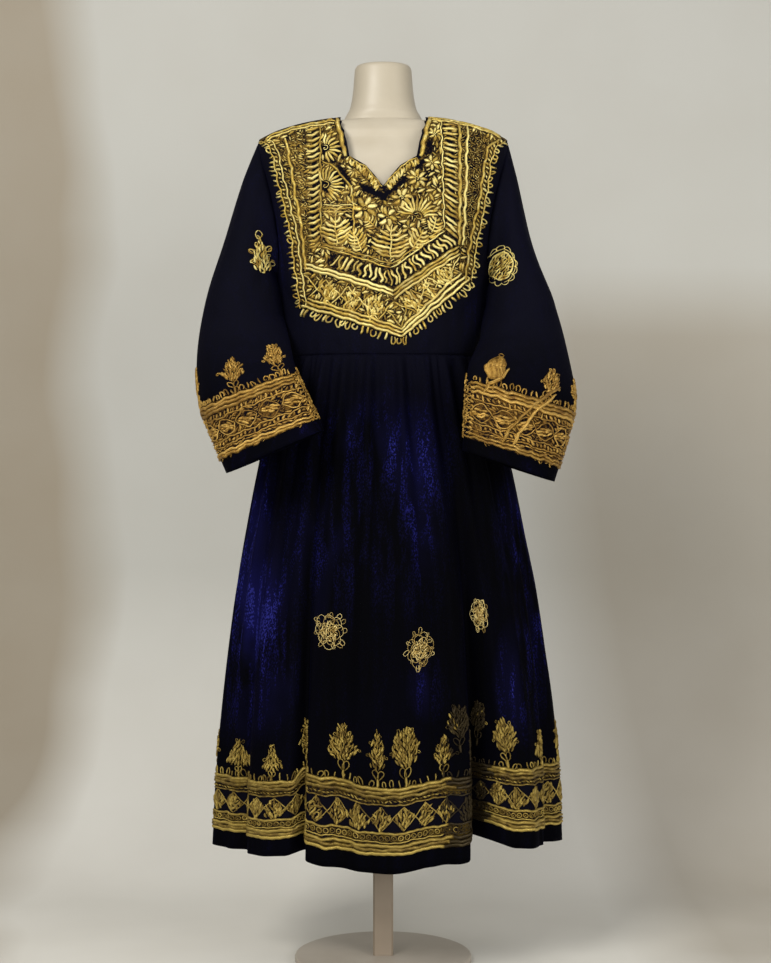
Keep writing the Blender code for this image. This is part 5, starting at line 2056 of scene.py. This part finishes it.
def make_bib():
    work = Stitches(on_chest, 11, 0.0009)
    for stitch in (bib_edges, bib_neck, bib_sides, bib_chevrons, bib_panel, bib_cover):
        stitch(work)
    work.build("bib_embroidery", BIB_GOLD, GROUND_LIFT)


make_bib()


# Motifs on the sleeves, worked out as seen from in front


# Steps of the search, the longest of them, and the least share of the cloth that faces the front
SEARCHES = 12
LONGEST = 0.01
LEAST = 0.15


def seen_from_front(place, start):
    """A place function over across and height: it looks for the cloth's own two measures."""

    def find(across, height):
        s = np.full(np.shape(across), float(start[0]))
        t = np.full(np.shape(across), float(start[1]))
        for _ in range(SEARCHES):
            point = place(s, t)[0]
            along_s = (place(s + READ_STEP, t)[0] - point) / READ_STEP
            along_t = (place(s, t + READ_STEP)[0] - point) / READ_STEP
            miss_x, miss_z = across - point[..., 0], height - point[..., 2]
            whole = along_s[..., 0] * along_t[..., 2] - along_t[..., 0] * along_s[..., 2]
            whole = np.where(np.abs(whole) < LEAST, LEAST * np.sign(whole + 1e-9), whole)
            move_s = (miss_x * along_t[..., 2] - miss_z * along_t[..., 0]) / whole
            move_t = (miss_z * along_s[..., 0] - miss_x * along_s[..., 2]) / whole
            s = s + np.clip(move_s, -LONGEST, LONGEST)
            t = t + np.clip(move_t, -LONGEST, LONGEST)
        return place(s, t)

    return find


def make_sleeve_motifs():
    """The oval flower of the left sleeve and the sprig of the right one."""
    oval = Stitches(seen_from_front(sleeve_left.place, (0.176, 0.416)), 41)
    middle = np.array((0.196, 1.169))
    core = np.array(arc(0.0180, 0, 345, 24, (0, 0), 1.28))
    oval.motif(grained(core, (-0.10, -0.12), 0.0085, 0.0034, oval.chance, 24), middle)
    oval.cord(core + middle, THREAD * 1.2, closed=True)
    oval.motif([scallops(0.0262, 13, THREAD * 0.72, oval.chance, 1.24, 0.10)], middle)
    oval.cord(arc(0.0222, -80, 140, 20, middle, 1.28), THREAD * 0.75)
    oval.build("sleeve_left_flower", BIB_GOLD)
    sprig = Stitches(seen_from_front(sleeve_right.place, (0.150, 0.430)), 42)
    root, lean = (-0.1985, 1.160), math.radians(7)
    sprig.motif(crown(np.array(SPRIG) * (0.032, 0.056), (0, 0), sprig.chance, 7), root, lean)
    sprig.motif([ring(0.0050, THREAD * 0.85, 1.3, (0, 0.063)), coil(0.0030, 1.2, THREAD)], root, lean)
    for height in (0.012, 0.034):
        for side in (-1, 1):
            angle = 90 - side * sprig.chance.uniform(50, 90)
            sprig.motif([loop((side * 0.006, height), angle, 0.013, 0.009, THREAD * 0.9)], root, lean)
    sprig.build("sleeve_right_flower", BIB_GOLD)


make_sleeve_motifs()


# Cuffs


def straight(first, last, t):
    """A level line of a band's design."""
    return np.array([(first, t), (last, t)])


Tree = namedtuple("Tree", "s t kind width height lean")
# Width of the cuff's bare seam, its place as a share of the girth, and the band's upper edge
CUFF_GAP = 0.018
CUFF_SEAM = 0.500
CUFF_TOP = CUFF_MARGIN + CUFF_BAND


def plant(work, trees):
    """Leaves that stand on a band, and loose flowers."""
    for each in trees:
        if each.kind == "flower":
            motif = wild_rosette(each.width / 2, work.chance, each.height / each.width)
        else:
            motif = grown(each.kind, each.width, each.height, work.chance)
        work.motif(motif, (each.s, each.t), math.radians(each.lean))


def make_cuff(side, sleeve, trees, seed):
    girth = sleeve.girth
    work = Stitches(sleeve.place, seed, 0.0010)
    seam = girth * CUFF_SEAM
    first, last = seam + CUFF_GAP / 2, seam + girth - CUFF_GAP / 2
    low = CUFF_MARGIN
    full = Band(straight(first, last, low), straight(first, last, low + CUFF_BAND))
    braid(work, full, 0.005, 0.110, 2)
    beads(work, full, 0.150, 0.0092, 0.0105, 0.0036)
    rule(work, full, 0.190, 0.0036, 0.0009)
    beads(work, full, 0.240, 0.0084, 0.0084, 0.0046, 42)
    rule(work, full, 0.290, 0.0034, 0.0009)
    lenses(work, full, 0.320, 0.650, 0.040)
    rule(work, full, 0.685, 0.0036, 0.0009)
    beads(work, full, 0.738, 0.0086, 0.0088, 0.0044, 58)
    braid(work, full, 0.790, 0.990, 3, 0.0008)
    picots(work, full, 1.0, 0.0100, 0.0100, 0.0070, PICOT_THREAD, 0.45)
    for edge, way in ((first, -1), (last, 1)):
        outer = edge + way * 0.01
        border = Band([(edge, low), (edge, low + CUFF_BAND)], [(outer, low), (outer, low + CUFF_BAND)])
        beads(work, border, -0.15, 0.0078, 0.0100, 0.0046, -60 * way)
        picots(work, border, 0.0, 0.0095, 0.0078, 0.0068, PICOT_THREAD, 0.35)
    work.fill_gaps(full.outline(), 0.0058, 0.0125, 0.0046, 0.25, 0.5, 0.0005, FIELD_TOP)
    work.fill_gaps(full.outline(), 0.0044, 0.0080, 0.0034, 0.5, 0.8, 0.0004, FIELD_TOP)
    plant(work, trees)
    work.build(f"cuff_{side}_embroidery", CUFF_GOLD, GROUND_LIFT)
    s, t = np.meshgrid(np.linspace(0, girth, 97)[:-1], np.linspace(low, low + CUFF_BAND, 14))
    points, normal = sleeve.place(s, t)
    cover = (np.abs(s - seam) > CUFF_GAP / 2).astype(float)
    thin_skin(f"cuff_{side}_ground", f"cuff_band_{side}", points, normal, True, CUFF_GROUND,
              cover)


RIGHT_CUFF_TREES = (
    Tree(0.030, CUFF_TOP, "leaf", 0.034, 0.076, 6),
    Tree(0.126, CUFF_TOP + 0.001, "maple", 0.046, 0.074, -2),
    Tree(0.206, CUFF_TOP + 0.001, "leaf", 0.035, 0.084, 2),
    Tree(0.300, CUFF_TOP, "maple", 0.044, 0.058, 0),
    Tree(0.385, CUFF_TOP, "leaf", 0.034, 0.060, 0),
)
LEFT_CUFF_TREES = (
    Tree(0.200, CUFF_TOP - 0.008, "ringed", 0.036, 0.080, 2),
    Tree(0.110, CUFF_TOP - 0.008, "leaf", 0.036, 0.070, 12),
    Tree(0.030, CUFF_TOP, "maple", 0.042, 0.056, 0),
    Tree(0.305, CUFF_TOP, "leaf", 0.036, 0.062, 0),
    Tree(0.395, CUFF_TOP, "maple", 0.042, 0.056, 0),
)
# Stems that run down over the left cuff: across and height as seen from in front
CUFF_STEMS = (
    ((0.2808, 0.9603), (0.2570, 0.9460), (0.2332, 0.9286), (0.1951, 0.8889), (0.1856, 0.8715)),
    ((0.2744, 0.9476), (0.2411, 0.9222), (0.2110, 0.8842), (0.2046, 0.8683)),
    ((0.1967, 0.9873), (0.1856, 0.9730), (0.1650, 0.9635), (0.1602, 0.9524)),
)


def make_cuff_stems():
    work = Stitches(seen_from_front(sleeve_left.place, (0.150, CUFF_TOP - 0.02)), 43)
    for line in CUFF_STEMS:
        for beside in (0.0, 0.0052):
            work.cord(np.array(line) + (beside * 0.7, beside * 0.7), 0.0050)
    work.build("cuff_left_stems", CUFF_GOLD, GROUND_LIFT + 0.0011)


make_cuff_stems()
make_cuff("left", sleeve_left, LEFT_CUFF_TREES, 21)
make_cuff("right", sleeve_right, RIGHT_CUFF_TREES, 22)


# Hem

# Height of the band in the design, and its upper edge
DESIGN_BAND = 0.112
HEM_TOP = HEM_MARGIN + DESIGN_BAND

# How far the band's design stops before a side seam
HEM_END = 0.002

# Height of the gold band round the hem
HEM_BANDS = table(
    "s height",
    (0.000, 0.106),
    (0.140, 0.106),
    (0.210, 0.103),
    (0.270, 0.098),
    (0.400, 0.112),
    (0.480, 0.107),
    (0.535, 0.107),
    (0.600, 0.116),
    (0.690, 0.112),
    (0.720, 0.095),
    (0.900, 0.093),
    (1.100, 0.104),
    (1.862, 0.106),
)
band_height = column(HEM_BANDS, "height", "s")
# The part of the hem that lies in the shade of the deep fold
HEM_FOLD = (0.243, 0.408)


def on_hem(s, t):
    """The hem's design, whose band is stretched or narrowed to its height at each place."""
    tall = band_height(np.mod(s, HEM_GIRTH))
    within = HEM_MARGIN + (t - HEM_MARGIN) * tall / DESIGN_BAND
    return on_skirt(s, np.where(t < HEM_TOP, within, t + tall - DESIGN_BAND))


def hem_place(angle):
    """Distance along the hem band at an angle."""
    return float(np.interp(angle, measure_angles, hem_run))


def make_hem(name, node, first_angle, last_angle, trees, seed):
    """Half of the hem's band with its leaves, the loose flowers above it and the stitched ground."""
    first = hem_place(first_angle) + HEM_END
    last = hem_place(last_angle) - HEM_END
    work = Stitches(on_hem, seed)
    # The thread in the deep fold's shade gets painted shade
    work.fold_shade_stretches.append(HEM_FOLD)
    full = Band(straight(first, last, HEM_MARGIN), straight(first, last, HEM_TOP))
    braid(work, full, 0.000, 0.165, 3, 0.0008)
    rule(work, full, 0.192, THREAD * 1.3, 0.0008)
    row_of(work, full, 0.255, 0.0105, [ring(0.0040, THREAD * 1.1), coil(0.0018, 1.0, THREAD)])
    rule(work, full, 0.322, 0.0046, 0.0008)
    crosses(work, full, 0.352, 0.705, 0.037, THREAD * 1.15)
    rule(work, full, 0.735, CORD * 1.15, 0.0007)
    beads(work, full, 0.785, 0.0072, 0.0070, 0.0034, 20)
    braid(work, full, 0.825, 0.990, 3, 0.0008)
    picots(work, full, 0.985, 0.0115, 0.0125, 0.0076, THREAD * 0.95, 0.45)
    plant(work, [tree for tree in trees if tree.kind != "flower"])
    work.build(name + "_embroidery", HEM_GOLD, GROUND_LIFT)
    loose = Stitches(on_hem, seed + 10)
    plant(loose, [tree for tree in trees if tree.kind == "flower"])
    loose.build(name.replace("hem", "skirt") + "_flowers", GOLD)
    count = int((last - first) / 0.005)
    s, t = np.meshgrid(np.linspace(first, last, count), np.linspace(HEM_MARGIN, HEM_TOP - 0.002, 12))
    points, normal = on_hem(s, t)
    share = (t - HEM_MARGIN) / DESIGN_BAND
    cover = ((share < 0.33) | (share > 0.74)).astype(float)
    thin_skin(name + "_ground", node, points, normal, False, HEM_GROUND,
              cover)


def even_trees(first_angle, last_angle, pitch):
    """Leaves in turn along a part of the hem."""
    first, last = hem_place(first_angle), hem_place(last_angle)
    count = int((last - first) / pitch)
    kinds = (("leaf", 0.046, 0.082), ("slim", 0.024, 0.076), ("fir", 0.048, 0.062))
    places = first + (last - first) * (np.arange(count) + 0.5) / count
    return [Tree(s, HEM_TOP, *kinds[k % 3], 0) for k, s in enumerate(places)]


FRONT_TREES = (
    Tree(0.040, HEM_TOP, "slim", 0.024, 0.070, 0),
    Tree(0.120, HEM_TOP, "fir", 0.044, 0.060, 0),
    Tree(0.205, HEM_TOP, "leaf", 0.050, 0.078, -4),
    Tree(0.274, HEM_TOP + 0.030, "leaf", 0.042, 0.074, 6),
    Tree(0.310, HEM_TOP, "slim", 0.024, 0.060, 0),
    Tree(0.352, HEM_TOP, "slim", 0.026, 0.066, 0),
    Tree(0.388, HEM_TOP + 0.040, "leaf", 0.042, 0.072, 0),
    Tree(0.418, HEM_TOP, "maple", 0.036, 0.066, 4),
    Tree(0.484, HEM_TOP, "leaf", 0.050, 0.090, 0),
    Tree(0.531, HEM_TOP, "slim", 0.030, 0.090, 0),
    Tree(0.591, HEM_TOP, "maple", 0.056, 0.086, 0),
    Tree(0.686, HEM_TOP + 0.010, "slim", 0.022, 0.070, -4),
    Tree(0.756, HEM_TOP, "fir", 0.038, 0.060, 0),
    Tree(0.852, HEM_TOP, "fir", 0.058, 0.064, 0),
    Tree(0.925, HEM_TOP, "leaf", 0.042, 0.072, 0),
    Tree(0.621, 0.370, "flower", 0.064, 0.066, 0),
    Tree(0.453, 0.349, "flower", 0.060, 0.068, 0),
    Tree(0.252, 0.393, "flower", 0.068, 0.064, 0),
)
BACK_FLOWERS = (
    Tree(1.010, 0.410, "flower", 0.060, 0.062, 0),
    Tree(1.815, 0.395, "flower", 0.060, 0.062, 0),
    Tree(1.080, 0.390, "flower", 0.060, 0.062, 0),
    Tree(1.290, 0.350, "flower", 0.060, 0.062, 0),
    Tree(1.450, 0.400, "flower", 0.060, 0.062, 0),
    Tree(1.650, 0.360, "flower", 0.060, 0.062, 0),
)
make_hem("hem_front", "hem_band_front", 0, 180, FRONT_TREES, 31)
make_hem("hem_back", "hem_band_back", 180, 360, tuple(even_trees(180, 360, 0.085)) + BACK_FLOWERS, 32)


# Dress form

FORM_SIDES = 96
FORM_STEP = 0.006
# How far the form's shoulders lie inside the bodice's front and back
FORM_INSET = 0.010


def make_form():
    """The form from its trunk over the shoulders, which follow the dress's, to the neck."""
    shoulders = []
    for place in FORM_SHOULDERS:
        seam = float(shoulder_height(place.across))
        depths = float(front_depth(seam)) - FORM_INSET, float(back_depth(seam)) - FORM_INSET
        shoulders.append((seam - place.drop, place.across, *depths))
    sections = np.array([*FORM_TRUNK, *shoulders, *FORM_NECK])
    run = run_along(sections)
    stops = np.linspace(0, run[-1], int(run[-1] / FORM_STEP))
    stops = np.unique(np.concatenate([stops, run]))
    height, half, front, back = [smooth_curve(run, sections[:, k])(stops)[:, None] for k in range(4)]
    turn = np.linspace(0, 2 * math.pi, FORM_SIDES + 1)[None, :-1]
    rings = section_point(turn, half, np.where(np.sin(turn) >= 0, -front, back), height)
    last = (len(rings) - 1) * FORM_SIDES
    faces = [range(FORM_SIDES), range(last + FORM_SIDES - 1, last - 1, -1)]
    faces += grid_faces(len(rings), FORM_SIDES, True)[:, [1, 0, 3, 2]].tolist()
    made = add_mesh("form", rings.reshape(-1, 3), faces, FORM_CREAM)
    made.data.flip_normals()
    made.data.set_sharp_from_angle(angle=math.radians(60))
    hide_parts("dress_form")


make_form()
for node, finish in (("stand_post", POST_PAINT), ("stand_base", BASE_PAINT)):
    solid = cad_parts[node]
    solid.data.materials.clear()
    solid.data.materials.append(finish)


# Stage, light and camera

# Metres to a pixel of the photograph at the form, where the camera stands, the photograph's height in
# pixels and the sensor's in millimetres
PIXEL = 0.0017
CAMERA_DISTANCE = 3.0
CAMERA_HEIGHT = 0.812
CAMERA_ACROSS = 0.004
PHOTO_HEIGHT = 963
SENSOR = 36.0

# Colours of the backdrop: its pale paper, the painted shade beside the dress and the floor's painted light
WALL_LIGHT = (0.460, 0.460, 0.427)
WALL_SHADE = (0.300, 0.262, 0.202)
FLOOR_PAINTED_LIGHT = (0.660, 0.650, 0.600)


def backdrop_material():
    """Pale paper with painted soft, wide shadows beside the dress, and painted light that makes the floor
    paler than the wall. It is clear from behind.
    """
    finish = Finish("backdrop_paper", WALL_LIGHT, 0.9)
    finish.fix("Specular IOR Level", 0.1)
    axes = finish.axes()
    across, back, height = axes["X"], axes["Y"], axes["Z"]
    sway = finish.math("MULTIPLY", finish.noise(1.1, 2), 0.5)
    # Painted shadows: shade at the left and right of the wall, fading at the floor and in front
    left = finish.level(finish.math("ADD", across, sway), -0.36, -0.50, 0.0, 0.92)
    left = finish.math("MULTIPLY", left, finish.level(height, -0.10, 0.10, 0.25, 1.0))
    lean = finish.math("ADD", across, finish.math("MULTIPLY", height, 0.15))
    right = finish.level(lean, 0.42, 0.60)
    right = finish.math("MULTIPLY", right, finish.level(height, 1.30, 1.14, 0.0, 0.58))
    both = finish.math("MAXIMUM", left, right)
    both = finish.math("MULTIPLY", both, finish.level(back, -0.30, 0.05))
    mottle = finish.level(finish.noise(3.0, 3), 0.3, 0.7, -0.03, 0.09)
    # Painted light: towards the floor the paper is mixed to a lighter colour
    pale = finish.mixed(finish.level(height, 0.62, 0.02), WALL_LIGHT, FLOOR_PAINTED_LIGHT)
    finish.feed("Base Color", finish.mixed(finish.math("ADD", both, mottle), pale, WALL_SHADE))
    finish.bump(finish.noise(240, 3), 0.0004, 0.3)
    behind = finish.add("NewGeometry").outputs["Backfacing"]
    clear = finish.add("BsdfTransparent").outputs["BSDF"]
    either = finish.add("MixShader", (0, behind), (1, finish.shader.outputs["BSDF"]), (2, clear))
    finish.links.new(either.outputs["Shader"], finish.nodes["Material Output"].inputs["Surface"])
    return finish.material


def make_stage():
    """A pale floor that curves up into the wall behind."""
    half_wide, front_y, wall_y, wall_top, bend, floor_gap = 5.0, -2.0, 1.0, 4.5, 0.6, 0.0005
    profile = [(front_y, 0.0)]
    for turn in np.linspace(0, math.pi / 2, 17):
        profile.append((wall_y - bend + bend * math.sin(turn), bend - bend * math.cos(turn)))
    profile.append((wall_y, wall_top))
    vertices = [(x, y, z - floor_gap) for y, z in profile for x in (-half_wide, half_wide)]
    faces = [(2 * k, 2 * k + 1, 2 * k + 3, 2 * k + 2) for k in range(len(profile) - 1)]
    mesh = bpy.data.meshes.new("backdrop")
    mesh.from_pydata(vertices, [], faces)
    mesh.shade_smooth()
    mesh.materials.append(backdrop_material())
    placed("backdrop", mesh)


LAMPS = table(
    "name x y z aim_z size power color",
    ("key", -1.5, -2.6, 2.5, 1.0, 1.2, 92, (1.0, 0.97, 0.92)),
    ("fill", 2.2, -2.4, 1.4, 0.8, 1.6, 44, (1.0, 0.96, 0.90)),
    ("front", 0.2, -3.2, 0.9, 0.6, 1.4, 26, (1.0, 0.97, 0.93)),
)


def make_lights():
    """Three soft lamps, each aimed at a height of the dress, and a pale sky."""
    for lamp in LAMPS:
        data = bpy.data.lights.new(lamp.name, "AREA")
        data.size = lamp.size
        data.energy = lamp.power
        data.color = lamp.color
        made = placed(lamp.name, data)
        place = np.array([lamp.x, lamp.y, lamp.z])
        made.location = place
        aim = np.array([0, 0, lamp.aim_z]) - place
        level_way = math.hypot(aim[0], aim[1])
        made.rotation_euler = (math.atan2(level_way, -aim[2]), 0, math.atan2(-aim[0], aim[1]))
    world = bpy.data.worlds.new("studio")
    world.use_nodes = True
    background = world.node_tree.nodes["Background"]
    background.inputs["Color"].default_value = (0.97, 0.97, 1.0, 1)
    background.inputs["Strength"].default_value = 0.45
    bpy.context.scene.world = world
    bpy.context.scene.view_settings.view_transform = "Standard"


def make_camera():
    """A level camera in front of the dress, as far away as the photograph's."""
    data = bpy.data.cameras.new("camera")
    data.sensor_width = SENSOR
    data.lens = SENSOR * CAMERA_DISTANCE / (PHOTO_HEIGHT * PIXEL)
    data.clip_end = 50
    made = placed("camera", data)
    made.location = (CAMERA_ACROSS, -CAMERA_DISTANCE, CAMERA_HEIGHT)
    made.rotation_euler = (math.pi / 2, 0, 0)
    bpy.context.scene.camera = made


make_stage()
make_lights()
make_camera()
